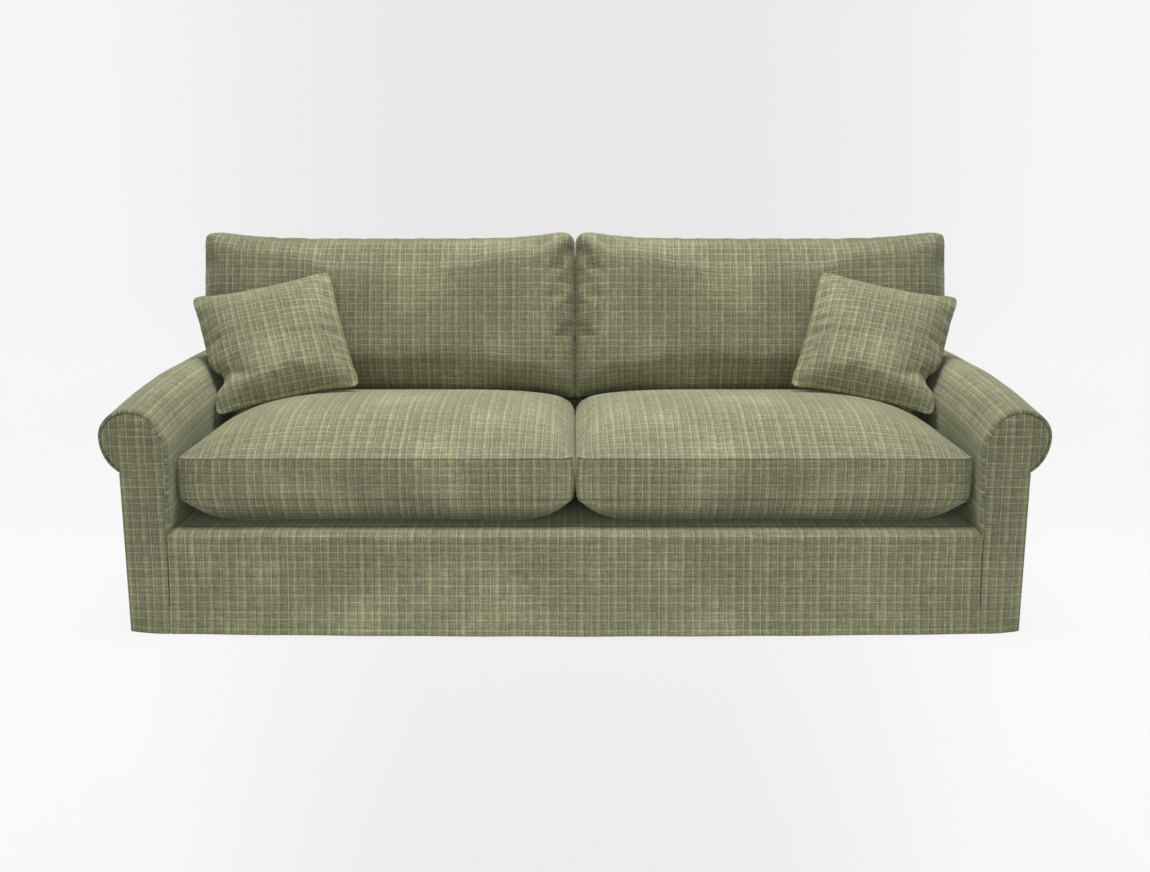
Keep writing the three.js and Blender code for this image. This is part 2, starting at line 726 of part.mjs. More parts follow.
function makeInsideBack() {
  const foot = deck.top + fit;
  const cornerShares = [0, 0.3, 1]; // of the round top edge
  const profile = (behind, bottom, rear) => {
    const top = back.top - behind;
    const round = cornerShares.map((share) => {
      const z = top - back.topRadius * (1 - share);
      return [insideBackAt(z, behind) + back.topRadius * share * share, z];
    });
    return [[insideBackAt(bottom, behind), bottom], ...round, [rear, top], [rear, bottom]];
  };
  const outer = prismAlongX(profile(0, foot, frameRear), -bodyHalf, bodyHalf);
  const wingInner = bodyHalf - cloth;
  const innerProfile = profile(cloth, foot - overrun, frameRear + overrun);
  const innerRooms = armRooms(betweenArms - cloth, wingBottom + cloth);
  const inner = cut(prismAlongX(innerProfile, -wingInner, wingInner), ...innerRooms);
  const cover = cut(outer, ...armRooms(betweenArms, wingBottom), inner, ...postRooms());
  place('inside_back_cover', cover, plaid());

  const padTop = back.top - innerCloth - back.topRadius;
  const padOutline = [
    [insideBackAt(foot, innerCloth), foot],
    [insideBackAt(padTop, innerCloth), padTop],
    [insideBackAt(padTop, innerCloth + back.pad), padTop],
    [insideBackAt(foot, innerCloth + back.pad), foot],
  ];
  const padHalf = bodyHalf - innerCloth;
  const pad = prismAlongX(padOutline, -padHalf, padHalf);
  const padRooms = armRooms(betweenArms - innerCloth, wingBottom + innerCloth);
  place('inside_back_pad', cut(pad, ...padRooms), foam());
}

function makeOutsideBack() {
  const shoulder = Math.sqrt(1 - ((arm.width - rollMiddle) / arm.outerReach) ** 2);
  const shoulderHeight = rollCentre + shoulder * arm.rollHeight;
  const rollSide = [...underHeights, ...rollHeights.filter((z) => z < shoulderHeight), shoulderHeight];
  const right = [
    [bodyHalf, sofa.hemGap],
    ...rollSide.map((z) => [armInner + armOuterAt(z), z + arm.rise]),
    [bodyHalf, back.top],
  ];
  const left = right.map(([x, z]) => [-x, z]).reverse();
  place('outside_back_cover', prismAlongY([...right, ...left], yRear - cloth, yRear), plaid());
}

// Feet and the cloth under the frame

const foot = { top: 60, bottom: 44, inset: 12 };

const footPlaces = () => {
  const x = frameHalf - foot.inset - foot.top / 2;
  const front = armFront + foot.inset + foot.top / 2;
  const rear = frameRear - foot.inset - foot.top / 2;
  return {
    foot_front_right: [x, front],
    foot_front_left: [-x, front],
    foot_front_centre: [0, front],
    foot_rear_right: [x, rear],
    foot_rear_left: [-x, rear],
    foot_rear_centre: [0, rear],
  };
};

function makeFeetAndUndercloth() {
  const height = rail.bottom - fit;
  const rooms = [];
  for (const [name, [x, y]] of Object.entries(footPlaces())) {
    const leg = new THREE.CylinderGeometry(foot.top / Math.SQRT2, foot.bottom / Math.SQRT2, height, 4);
    leg.rotateY(Math.PI / 4).rotateX(Math.PI / 2).translate(x, y, height / 2);
    place(name, leg, timber());
    const room = foot.top / 2 + fit;
    rooms.push(block([x - room, x + room], [y - room, y + room], [0, rail.bottom]));
  }
  const top = rail.bottom - fit;
  const half = frameHalf - foot.inset / 2;
  const yRange = [armFront + foot.inset / 2, frameRear - foot.inset / 2];
  place('dust_cover', cut(block([-half, half], yRange, [top - cloth, top]), ...rooms), blackCloth());
}

// Loose cushions: each is a case with a band and a crown, a filling inside it and a zip in its slot

const outerRings = [1, 0.95, 0.82, 0.6, 0.3]; // shares of the way from the middle out to the seam
const innerRings = [1, 0.8, 0.45];
const wrapAt = (line, i) => line[(i + line.length) % line.length];

// Moves a closed outline, which runs anticlockwise, outwards.
function grown(outline, out) {
  return outline.map(([x, y], i) => {
    const [ax, ay] = wrapAt(outline, i - 1);
    const [bx, by] = wrapAt(outline, i + 1);
    const run = Math.hypot(bx - ax, by - ay);
    return [x + (out * (by - ay)) / run, y - (out * (bx - ax)) / run];
  });
}

// The skin of a cushion in its own frame: the outline lies in the XY plane and the band stands on it.
// The crowns give the height over and under the band. The insets set the skin in from faces and seams.
function cushionSkin(shape, ringShares, faceInset = 0, rimInset = faceInset) {
  const rim = grown(shape.outline, -rimInset);
  const [low, high] = [shape.band[0] + faceInset, shape.band[1] - faceInset];
  const [cx, cy] = shape.centre;
  const pointAt = (x, y, share, upper) => {
    const [px, py] = [cx + share * (x - cx), cy + share * (y - cy)];
    const height = share < 1 ? (upper ? shape.upper : shape.lower)(px, py, share) : 0;
    return new THREE.Vector3(px, py, upper ? high + height : low - height);
  };
  const ring = (share, upper) => rim.map(([x, y]) => pointAt(x, y, share, upper));
  const middle = (low + high) / 2;
  const swollen = grown(shape.outline, shape.bulge - rimInset);
  const bulged = swollen.map(([x, y]) => new THREE.Vector3(x, y, middle));
  const lowerShares = shape.flatBelow ? [1] : [...ringShares].reverse();
  const rings = [
    ...lowerShares.map((share) => ring(share, false)),
    bulged,
    ...ringShares.map((share) => ring(share, true)),
  ];
  const poles = [pointAt(cx, cy, 0, false), pointAt(cx, cy, 0, true)];
  return stackedRings(rings, ...poles).applyMatrix4(shape.frame);
}

function makeCushion(name, shape) {
  const { wall, closure } = shape;
  const middle = (shape.band[0] + shape.band[1]) / 2;
  const zipBox = (gap, depth) => block(
    [closure.x - closure.length / 2 - gap, closure.x + closure.length / 2 + gap],
    [closure.y - depth, closure.y + depth],
    [middle - closure.height / 2 - gap, middle + closure.height / 2 + gap],
  ).applyMatrix4(shape.frame);
  const slot = zipBox(fit, wall + overrun);
  const cover = cut(cushionSkin(shape, outerRings), cushionSkin(shape, innerRings, wall), slot);
  placePair(`${name}_case`, cover, plaid);
  placePair(`${name}_filling`, cushionSkin(shape, innerRings, wall + fit, shape.fillingInset), foam);
  placePair(`${name}_zip`, zipBox(0, closure.thickness / 2), tape);
}

const cushionBulge = 4; // how far a band swells between its seams

function makeSeatCushions() {
  const front = yFront + seat.setback;
  const rear = insideBackAt(seat.bandBottom, -2 * fit);
  const inner = seat.gap;
  const outer = armInner - fit - cushionBulge;
  const centre = [(inner + outer) / 2, (front + rear) / 2];
  const across = (x) => Math.min(Math.abs(x - centre[0]) / (outer - centre[0]), 1);
  const along = (y) => Math.min(Math.abs(y - centre[1]) / (rear - centre[1]), 1);
  const under = seat.bandBottom - deck.top - fit;
  makeCushion('seat_cushion', {
    outline: roundedOutline([
      [inner + cushionBulge, front, seat.corner, 3],
      [outer, front, seat.corner, 3],
      [outer, rear, seat.corner, 3],
      [inner + cushionBulge, rear, seat.corner, 3],
    ], 4),
    band: [seat.bandBottom, seat.bandTop],
    centre,
    upper: (x, y) => {
      const fullness = x < centre[0] ? seat.fullness.middle : seat.fullness.arm;
      return seat.crown * (1 - along(y) ** 2.5) * (1 - across(x) ** fullness);
    },
    lower: (x, y) => under * (1 - along(y) ** 6) * (1 - across(x) ** 8),
    bulge: cushionBulge,
    wall: caseWall.boxed,
    fillingInset: caseWall.boxed + fit,
    frame: new THREE.Matrix4(),
    closure: {
      x: centre[0],
      y: rear + cushionBulge - caseWall.boxed / 2,
      length: zip.seatLength,
      height: zip.height,
      thickness: zip.thickness,
    },
  });
}

function makeBackCushions() {
  const inner = seat.gap + cushionBulge;
  const outer = bodyHalf - cushionBulge;
  const beside = armInner - fit - cushionBulge;
  const topCorners = [[outer, backrest.length], [inner, backrest.length]];
  const up = new THREE.Vector3(0, Math.sin(leanAngle), Math.cos(leanAngle));
  const forward = new THREE.Vector3(0, -Math.cos(leanAngle), Math.sin(leanAngle));
  const frame = new THREE.Matrix4().makeBasis(new THREE.Vector3(1, 0, 0), up, forward);
  frame.setPosition(0, insideBackAt(backrest.foot, -fit), backrest.foot);
  makeCushion('back_cushion', {
    outline: roundedOutline([
      [inner, 0, backrest.corner, 3],
      [beside, 0, backrest.corner, 3],
      [beside, backrest.ear, backrest.hollow, 2],
      [outer, backrest.ear, backrest.corner, 3],
      [...topCorners[0], backrest.corner, 3],
      dipBetween(...topCorners, backrest.dip, 6),
      [...topCorners[1], backrest.corner, 3],
    ], 3),
    band: [0, backrest.thickness],
    centre: [(inner + outer) / 2, (backrest.length + backrest.ear) / 2],
    upper: (x, y, share) => backrest.crown * (1 - share ** 4),
    lower: () => 0,
    flatBelow: true,
    bulge: cushionBulge,
    wall: caseWall.boxed,
    fillingInset: caseWall.boxed + fit,
    frame,
    closure: {
      x: (inner + beside) / 2,
      y: caseWall.boxed / 2 - cushionBulge,
      length: zip.backLength,
      height: zip.height,
      thickness: zip.thickness,
    },
  });
}

function makeScatterCushions() {
  const half = scatter.side / 2;
  const [turn, lean, roll] = [scatter.turn, scatter.lean, scatter.roll].map(THREE.MathUtils.degToRad);
  const middle = seat.bandTop + seat.crown + scatter.aboveSeat;
  const place = [armInner - scatter.fromArm, insideBackAt(middle) - scatter.fromBack, middle];
  const frame = new THREE.Matrix4().makeTranslation(...place)
    .multiply(new THREE.Matrix4().makeRotationZ(-turn))
    .multiply(new THREE.Matrix4().makeRotationX(Math.PI / 2 - lean))
    .multiply(new THREE.Matrix4().makeRotationZ(-roll));
  const corners = [[-half, -half], [half, -half], [half, half], [-half, half]];
  const drawnCorners = corners.flatMap((corner, i) => [
    [...corner, scatter.corner, 3],
    dipBetween(corner, wrapAt(corners, i + 1), scatter.drawn, 4),
  ]);
  const rise = (scatter.thickness - scatter.edge) / 2;
  makeCushion('scatter_cushion', {
    outline: roundedOutline(drawnCorners, 1),
    band: [-scatter.edge / 2, scatter.edge / 2],
    centre: [0, 0],
    upper: (x, y, share) => rise * (1 - share ** 2.2),
    lower: (x, y, share) => rise * (1 - share ** 2.2),
    bulge: 0,
    wall: caseWall.scatter,
    fillingInset: caseWall.scatter + caseWall.scatterSlack,
    frame,
    closure: {
      x: 0,
      y: scatter.drawn - half + caseWall.scatter / 2,
      length: zip.scatterLength,
      height: zip.scatterHeight,
      thickness: zip.scatterThickness,
    },
  });
}

makeArmCover();
makeArmFacing();
makeOutsideArmCover();
makeFrontSkirt();
makeDeck();
makeSprings();
makeSeatFrame();
makeArmFrame();
makeBackFrame();
makeBackWebbing();
makeArmPad();
makeInsideBack();
makeOutsideBack();
makeFeetAndUndercloth();
makeSeatCushions();
makeBackCushions();
makeScatterCushions();

export default sofaGroup;
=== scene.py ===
"""Wide sofa with rolled arms, a loose cover of check cloth and six loose cushions.

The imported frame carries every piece. Lengths are in metres, +Z is up and the front faces -Y.
"""

import math

import bmesh
import bpy
import numpy as np
from mathutils import Matrix, Vector


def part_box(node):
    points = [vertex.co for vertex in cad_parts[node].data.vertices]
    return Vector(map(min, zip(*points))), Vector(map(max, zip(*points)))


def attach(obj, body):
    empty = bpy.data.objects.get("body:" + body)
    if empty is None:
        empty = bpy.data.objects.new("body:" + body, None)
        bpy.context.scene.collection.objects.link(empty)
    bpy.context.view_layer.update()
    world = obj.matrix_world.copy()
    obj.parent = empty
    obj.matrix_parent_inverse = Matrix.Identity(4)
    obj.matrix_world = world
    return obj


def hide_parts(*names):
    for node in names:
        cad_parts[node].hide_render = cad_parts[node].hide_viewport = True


bl_info = {
    "name": "Rolled-arm sofa",
    "version": (1, 0, 0),
    "blender": (4, 5, 0),
    "location": "3D View > Sidebar > Sofa",
    "description": "Covers, cushions and finishes of a wide sofa with rolled arms",
    "category": "Object",
}

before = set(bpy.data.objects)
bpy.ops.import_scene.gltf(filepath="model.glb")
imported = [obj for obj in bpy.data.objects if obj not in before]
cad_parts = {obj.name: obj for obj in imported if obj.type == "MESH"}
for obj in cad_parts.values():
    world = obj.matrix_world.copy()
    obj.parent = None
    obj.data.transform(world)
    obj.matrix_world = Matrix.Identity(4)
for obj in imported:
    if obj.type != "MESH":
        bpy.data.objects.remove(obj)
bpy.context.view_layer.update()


def box_of(node):
    """Lowest and highest corner of a node of the frame, as arrays."""
    low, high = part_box(node)
    return np.array(low), np.array(high)


# Places taken from the frame's own nodes

SEAT_LOW, SEAT_HIGH = box_of("seat_cushion_case_right")
REAR_LOW, REAR_HIGH = box_of("outside_back_cover")
ARM_LOW = box_of("arm_cover_right")[0]
SKIRT_HIGH = box_of("front_skirt")[1]
INSIDE_LOW = box_of("inside_back_cover")[0]

MAIN_BODY = "sofa"
FIT = 0.0003
CLOTH = 0.003
LEAN = math.radians(13.0)
LEAN_SLOPE = math.tan(LEAN)
DECK_TOP = SKIRT_HIGH[2]
HEM = REAR_LOW[2]
BODY_HALF = box_of("outside_arm_cover_right")[1][0]
ARM_INNER = ARM_LOW[0]
ARM_WIDTH = BODY_HALF - ARM_INNER
SKIRT_SEAM = SKIRT_HIGH[0] + FIT
Y_FRONT = ARM_LOW[1] - CLOTH - FIT
Y_REAR = REAR_HIGH[1]
COVER_REAR = REAR_LOW[1] - FIT
BACK_TOP = REAR_HIGH[2]
BACK_FOOT_Y = INSIDE_LOW[1]
BETWEEN_ARMS = ARM_INNER - FIT
LIP_RADIUS = 0.022
HEM_ROWS = HEM + np.array([0.0, 0.002, 0.004])
STITCH_DEPTH = 0.0035
NEAR_SEAM = np.array([0.0, 0.0022, 0.005, 0.009, 0.015])

# The arm's section: a leaning face, a hollow neck, the roll over it and the curve under the roll
ARM_SPREAD = 0.009
ROLL_CENTRE = 0.495
ROLL_HEIGHT = 0.068
ROLL_MIDDLE = 0.088
INNER_REACH = 0.074
OUTER_REACH = 0.078
NECK_TOP = ROLL_CENTRE + 0.010
NECK_FOOT = ROLL_CENTRE - 0.038
UNDER_RADIUS = 0.098
UNDER_DROP = 0.088
ARM_RISE = 0.040
RISE_RUN = 0.550
WELT = 0.008

# The hem's swing forward, what the middle of the skirt adds to it, and the ripples over it
HEM_SWING = 0.020
MIDDLE_SWING = 0.018
RIPPLE_HEIGHT = 0.0012
RIPPLES = 23.0

# Where the check starts on the deck and on the outside of the arms, so that it meets its neighbours
DECK_CHECK_START = 0.74
OUTSIDE_CHECK_START = 0.0155

WING_FOOT = ROLL_CENTRE + ROLL_HEIGHT + ARM_RISE + FIT


def inside_back(z, behind=0.0):
    """Depth of the leaning inside back at a height, or of a plane set behind it."""
    return BACK_FOOT_Y + LEAN_SLOPE * (z - DECK_TOP) + behind / math.cos(LEAN)


# Settings


class SofaClothSettings(bpy.types.PropertyGroup):
    repeat: bpy.props.FloatProperty(
        name="Check repeat", description="Width of one repeat of the check", default=0.0415, unit="LENGTH"
    )
    pitch: bpy.props.FloatProperty(
        name="Thread pitch", description="Distance from one thread to the next", default=0.0011, unit="LENGTH"
    )
    sage: bpy.props.FloatVectorProperty(
        name="Sage", description="Green ground of the check", subtype="COLOR", default=(0.203, 0.210, 0.112)
    )
    taupe: bpy.props.FloatVectorProperty(
        name="Taupe", description="Grey ground of the check", subtype="COLOR", default=(0.207, 0.197, 0.127)
    )
    pale: bpy.props.FloatVectorProperty(
        name="Pale line", description="Thin pale line of the check", subtype="COLOR", default=(0.38, 0.385, 0.265)
    )
    dark: bpy.props.FloatVectorProperty(
        name="Dark line", description="Thin dark line of the check", subtype="COLOR", default=(0.138, 0.141, 0.080)
    )
    yellow: bpy.props.FloatVectorProperty(
        name="Yellow stripe", description="Soft yellow stripe", subtype="COLOR", default=(0.305, 0.315, 0.165)
    )


class SofaCushionSettings(bpy.types.PropertyGroup):
    seat_seam_low: bpy.props.FloatProperty(
        name="Lower seat seam", description="Height of the seam under the seat band", default=0.327, unit="LENGTH"
    )
    seat_seam_high: bpy.props.FloatProperty(
        name="Upper seat seam", description="Height of the seam over the seat band", default=0.4335, unit="LENGTH"
    )
    back_length: bpy.props.FloatProperty(
        name="Back cushion length", description="Back cushion, along its lean", default=0.468, unit="LENGTH"
    )
    back_band: bpy.props.FloatProperty(
        name="Back cushion band", description="Width of the back cushion's band", default=0.120, unit="LENGTH"
    )
    scatter_side: bpy.props.FloatProperty(
        name="Scatter cushion side", description="Scatter cushion, corner to corner", default=0.395, unit="LENGTH"
    )
    scatter_thickness: bpy.props.FloatProperty(
        name="Scatter cushion thickness", description="Thickness at its middle", default=0.134, unit="LENGTH"
    )


class SofaStageSettings(bpy.types.PropertyGroup):
    camera_height: bpy.props.FloatProperty(
        name="Camera height", description="Camera over the floor", default=1.130, unit="LENGTH"
    )
    camera_distance: bpy.props.FloatProperty(
        name="Camera distance", description="Camera to the front of the arms", default=2.984, unit="LENGTH"
    )
    camera_pitch: bpy.props.FloatProperty(
        name="Camera pitch", description="How far the camera looks down", default=math.radians(11.93), subtype="ANGLE"
    )
    lens: bpy.props.FloatProperty(
        name="Lens", description="Focal length on a 36 mm sensor", default=39.69, unit="CAMERA"
    )


# Mesh making


def edge_lines(low, high, count, near=NEAR_SEAM):
    """Grid lines from low to high: a few close to both ends, where the seams are, and even ones between."""
    near = np.array(near)
    inner = np.linspace(low + near[-1], high - near[-1], count)[1:-1]
    return np.concatenate([low + near, inner, high - near[::-1]])


def grid_of(*values):
    """Points of a grid from arrays of rows and columns that fit each other's shape."""
    return np.stack(np.broadcast_arrays(*values), axis=-1)


def patch(points, uv, keep=None, flip=False, seam=None):
    """A grid of points with cloth coordinates and shares of painted seam shade. Columns x rows points outwards,
    unless it is flipped; keep says which of its squares are there."""
    rows, columns = points.shape[:2]
    r, c = np.meshgrid(np.arange(rows - 1), np.arange(columns - 1), indexing="ij")
    first = (r * columns + c)[keep] if keep is not None else (r * columns + c).ravel()
    quads = np.stack([first, first + 1, first + columns + 1, first + columns], axis=1)
    if flip:
        quads = quads[:, ::-1]
    seam = np.zeros((rows, columns)) if seam is None else np.broadcast_to(seam, (rows, columns))
    return points.reshape(-1, 3), uv.reshape(-1, 2), quads, seam.ravel()


def piece(name, patches, materials, merge=2e-5):
    """Joins patches into one mesh object at the origin, with a cloth coordinate for each corner."""
    points, quads, uvs, seams, count = [], [], [], [], 0
    for co, uv, faces, seam in patches:
        points.append(co)
        quads.append(faces + count)
        uvs.append(uv[faces])
        seams.append(seam)
        count += len(co)
    points, quads = np.concatenate(points), np.concatenate(quads)
    uvs, seams = np.concatenate(uvs), np.concatenate(seams)
    mesh = bpy.data.meshes.new(name)
    mesh.vertices.add(len(points))
    mesh.vertices.foreach_set("co", points.astype(np.float32).ravel())
    mesh.loops.add(quads.size)
    mesh.loops.foreach_set("vertex_index", quads.astype(np.int32).ravel())
    mesh.polygons.add(len(quads))
    mesh.polygons.foreach_set("loop_start", np.arange(0, quads.size, 4, dtype=np.int32))
    mesh.update(calc_edges=True)
    mesh.uv_layers.new(name="Cloth").data.foreach_set("uv", uvs.astype(np.float32).ravel())
    # Each point's share of painted shade in seams, grooves and hems
    mesh.attributes.new("Seam", "FLOAT", "POINT").data.foreach_set("value", seams.astype(np.float32))
    bm = bmesh.new()
    bm.from_mesh(mesh)
    bmesh.ops.remove_doubles(bm, verts=bm.verts, dist=merge)
    bmesh.ops.delete(bm, geom=[v for v in bm.verts if not v.link_faces], context="VERTS")
    bm.to_mesh(mesh)
    bm.free()
    mesh.shade_smooth()
    for material in materials:
        mesh.materials.append(material)
    obj = bpy.data.objects.new(name, mesh)
    bpy.context.scene.collection.objects.link(obj)
    return obj


def coordinates(obj):
    """The object's points as an array."""
    co = np.empty(len(obj.data.vertices) * 3, np.float32)
    obj.data.vertices.foreach_get("co", co)
    return co.reshape(-1, 3).astype(float)


def set_coordinates(obj, points):
    """Moves the object's points to the places in an array."""
    obj.data.vertices.foreach_set("co", points.astype(np.float32).ravel())
    obj.data.update()


def mirrored_copy(obj, name):
    """The piece's mirror image on the other side of the sofa, with its faces still pointing out."""
    copy = obj.copy()
    copy.data = obj.data.copy()
    copy.name = copy.data.name = name
    bpy.context.scene.collection.objects.link(copy)
    set_coordinates(copy, coordinates(copy) * np.array([-1.0, 1.0, 1.0]))
    copy.data.flip_normals()
    return copy


def both_sides(obj, left_name):
    """A right-hand piece and its new mirror image, each after the name of its side."""
    return ("right", obj), ("left", mirrored_copy(obj, left_name))


def waves(points, length, height, seed):
    """Gentle unevenness: a sum of seven sine waves in fixed but unrelated directions, by height."""
    rng = np.random.default_rng(seed)
    total = np.zeros(len(points))
    for _ in range(7):
        direction = rng.normal(size=3)
        direction /= np.linalg.norm(direction)
        scale = 2 * np.pi / (length * rng.uniform(0.6, 1.6))
        total += np.sin(points @ direction * scale + rng.uniform(0, 2 * np.pi))
    return height * total / math.sqrt(7)


def soft_least(a, b, width=0.004):
    """The lesser of two values, with the corner where they cross rounded over a width."""
    return -width * np.logaddexp(-a / width, -b / width)


def point_normals(obj):
    """The object's normals at its points, as an array."""
    normals = np.empty(len(obj.data.vertices) * 3, np.float32)
    obj.data.vertices.foreach_get("normal", normals)
    return normals.reshape(-1, 3).astype(float)


def roughen(obj, length, height, seed):
    """Moves every point along its normal by a gentle wave."""
    points = coordinates(obj)
    set_coordinates(obj, points + point_normals(obj) * waves(points, length, height, seed)[:, None])


def thicken(obj):
    """Gives a cloth its thickness on the inner side."""
    solid = obj.modifiers.new("Thickness", "SOLIDIFY")
    solid.thickness = CLOTH
    solid.offset = -1.0


def refine(obj):
    """Divides every face once and smooths the piece."""
    subdivision = obj.modifiers.new("Smooth", "SUBSURF")
    subdivision.levels = subdivision.render_levels = 1
    subdivision.uv_smooth = "PRESERVE_BOUNDARIES"


def bake_modifiers(obj):
    """Replaces the mesh by what its modifiers make of it."""
    graph = bpy.context.evaluated_depsgraph_get()
    made = bpy.data.meshes.new_from_object(obj.evaluated_get(graph), depsgraph=graph)
    made.name = obj.name
    obj.modifiers.clear()
    obj.data = made


def surface_area(obj):
    """Area of the object's faces."""
    areas = np.empty(len(obj.data.polygons), np.float32)
    obj.data.polygons.foreach_get("area", areas)
    return float(areas.sum())


def cover(obj, held, width, length, *nodes):
    """Turns an open surface into a cover: a cloth with a thickness that rides on the sofa. It works out the surface's
    area, capped by the flat rectangle that it is cut from, but nothing uses it."""
    area = min(surface_area(obj), 0.999 * width * length)
    thicken(obj)
    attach(obj, MAIN_BODY)
    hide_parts(*nodes)


# Finishes


def node_group(name, inputs, outputs):
    """An empty shader group with named sockets, given as (name, kind, default)."""
    group = bpy.data.node_groups.new(name, "ShaderNodeTree")
    for label, kind, default in inputs:
        socket = group.interface.new_socket(label, in_out="INPUT", socket_type=kind)
        if default is not None:
            socket.default_value = default
    for label, kind in outputs:
        group.interface.new_socket(label, in_out="OUTPUT", socket_type=kind)
    return group, group.nodes.new("NodeGroupInput"), group.nodes.new("NodeGroupOutput")


class Wiring:
    """Short ways to add nodes to a tree."""

    def __init__(self, tree):
        self.tree = tree

    def feed(self, socket, value):
        """Links a socket to another one, or gives it a value."""
        if isinstance(value, bpy.types.NodeSocket):
            self.tree.links.new(value, socket)
        else:
            socket.default_value = value

    def math(self, operation, *values, clamp=False):
        """A sum of one kind on sockets or numbers."""
        node = self.tree.nodes.new("ShaderNodeMath")
        node.operation = operation
        node.use_clamp = clamp
        for socket, value in zip(node.inputs, values):
            self.feed(socket, value)
        return node.outputs[0]

    def ramp(self, factor, stops):
        """Colour ramp from (place, colour or grey) stops."""
        node = self.tree.nodes.new("ShaderNodeValToRGB")
        elements = node.color_ramp.elements
        while len(elements) > 1:
            elements.remove(elements[-1])
        for i, (place, colour) in enumerate(stops):
            element = elements[0] if i == 0 else elements.new(place)
            element.position = place
            element.color = (*colour, 1.0) if hasattr(colour, "__len__") else (colour, colour, colour, 1.0)
        self.feed(node.inputs[0], factor)
        return node.outputs[0]

    def mix(self, factor, a, b, blend="MIX"):
        """Colours a and b, blended by a factor."""
        node = self.tree.nodes.new("ShaderNodeMix")
        node.data_type = "RGBA"
        node.blend_type = blend
        self.feed(node.inputs["Factor"], factor)
        self.feed(node.inputs[6], a)
        self.feed(node.inputs[7], b)
        return node.outputs[2]

    def noise(self, vector, stretch, detail=2.0, roughness=0.5):
        """Noise from 0 to 1 on a vector that is first scaled by stretch."""
        mapping = self.tree.nodes.new("ShaderNodeMapping")
        self.feed(mapping.inputs["Vector"], vector)
        mapping.inputs["Scale"].default_value = stretch
        node = self.tree.nodes.new("ShaderNodeTexNoise")
        self.feed(node.inputs["Vector"], mapping.outputs[0])
        node.inputs["Scale"].default_value = 1.0
        node.inputs["Detail"].default_value = detail
        node.inputs["Roughness"].default_value = roughness
        return node.outputs[0]

    def toned(self, colour, factor, stops):
        """A colour times the greys of a ramp."""
        return self.mix(1.0, colour, self.ramp(factor, stops), "MULTIPLY")

    def threads(self, cloth, fine, coarse, detail):
        """Noise drawn out along one thread system plus noise drawn out along the other."""
        one = self.noise(cloth, (fine, coarse, 1.0), detail, 0.6)
        return self.math("ADD", one, self.noise(cloth, (coarse, fine, 1.0), detail, 0.6))

    def object_place(self):
        """The object's own coordinates."""
        return self.tree.nodes.new("ShaderNodeTexCoord").outputs["Object"]

    def parts(self, vector):
        """The three numbers of a vector."""
        node = self.tree.nodes.new("ShaderNodeSeparateXYZ")
        self.feed(node.inputs[0], vector)
        return node.outputs

    def seen(self):
        """One where a ray shows the surface, directly, mirrored or through glass, and zero where it
        only lights others."""
        path = self.tree.nodes.new("ShaderNodeLightPath").outputs
        indirect = self.math("MAXIMUM", path["Is Glossy Ray"], path["Is Transmission Ray"])
        return self.math("MAXIMUM", path["Is Camera Ray"], indirect)

    def bump(self, shader, height, distance, strength=1.0):
        """Gives a shader small relief."""
        node = self.tree.nodes.new("ShaderNodeBump")
        node.inputs["Distance"].default_value = distance
        node.inputs["Strength"].default_value = strength
        self.feed(node.inputs["Height"], height)
        self.tree.links.new(node.outputs[0], shader.inputs["Normal"])


def new_material(name):
    """A node material, the wiring of its tree and its shader."""
    material = bpy.data.materials.new(name)
    material.use_nodes = True
    return material, Wiring(material.node_tree), material.node_tree.nodes["Principled BSDF"]


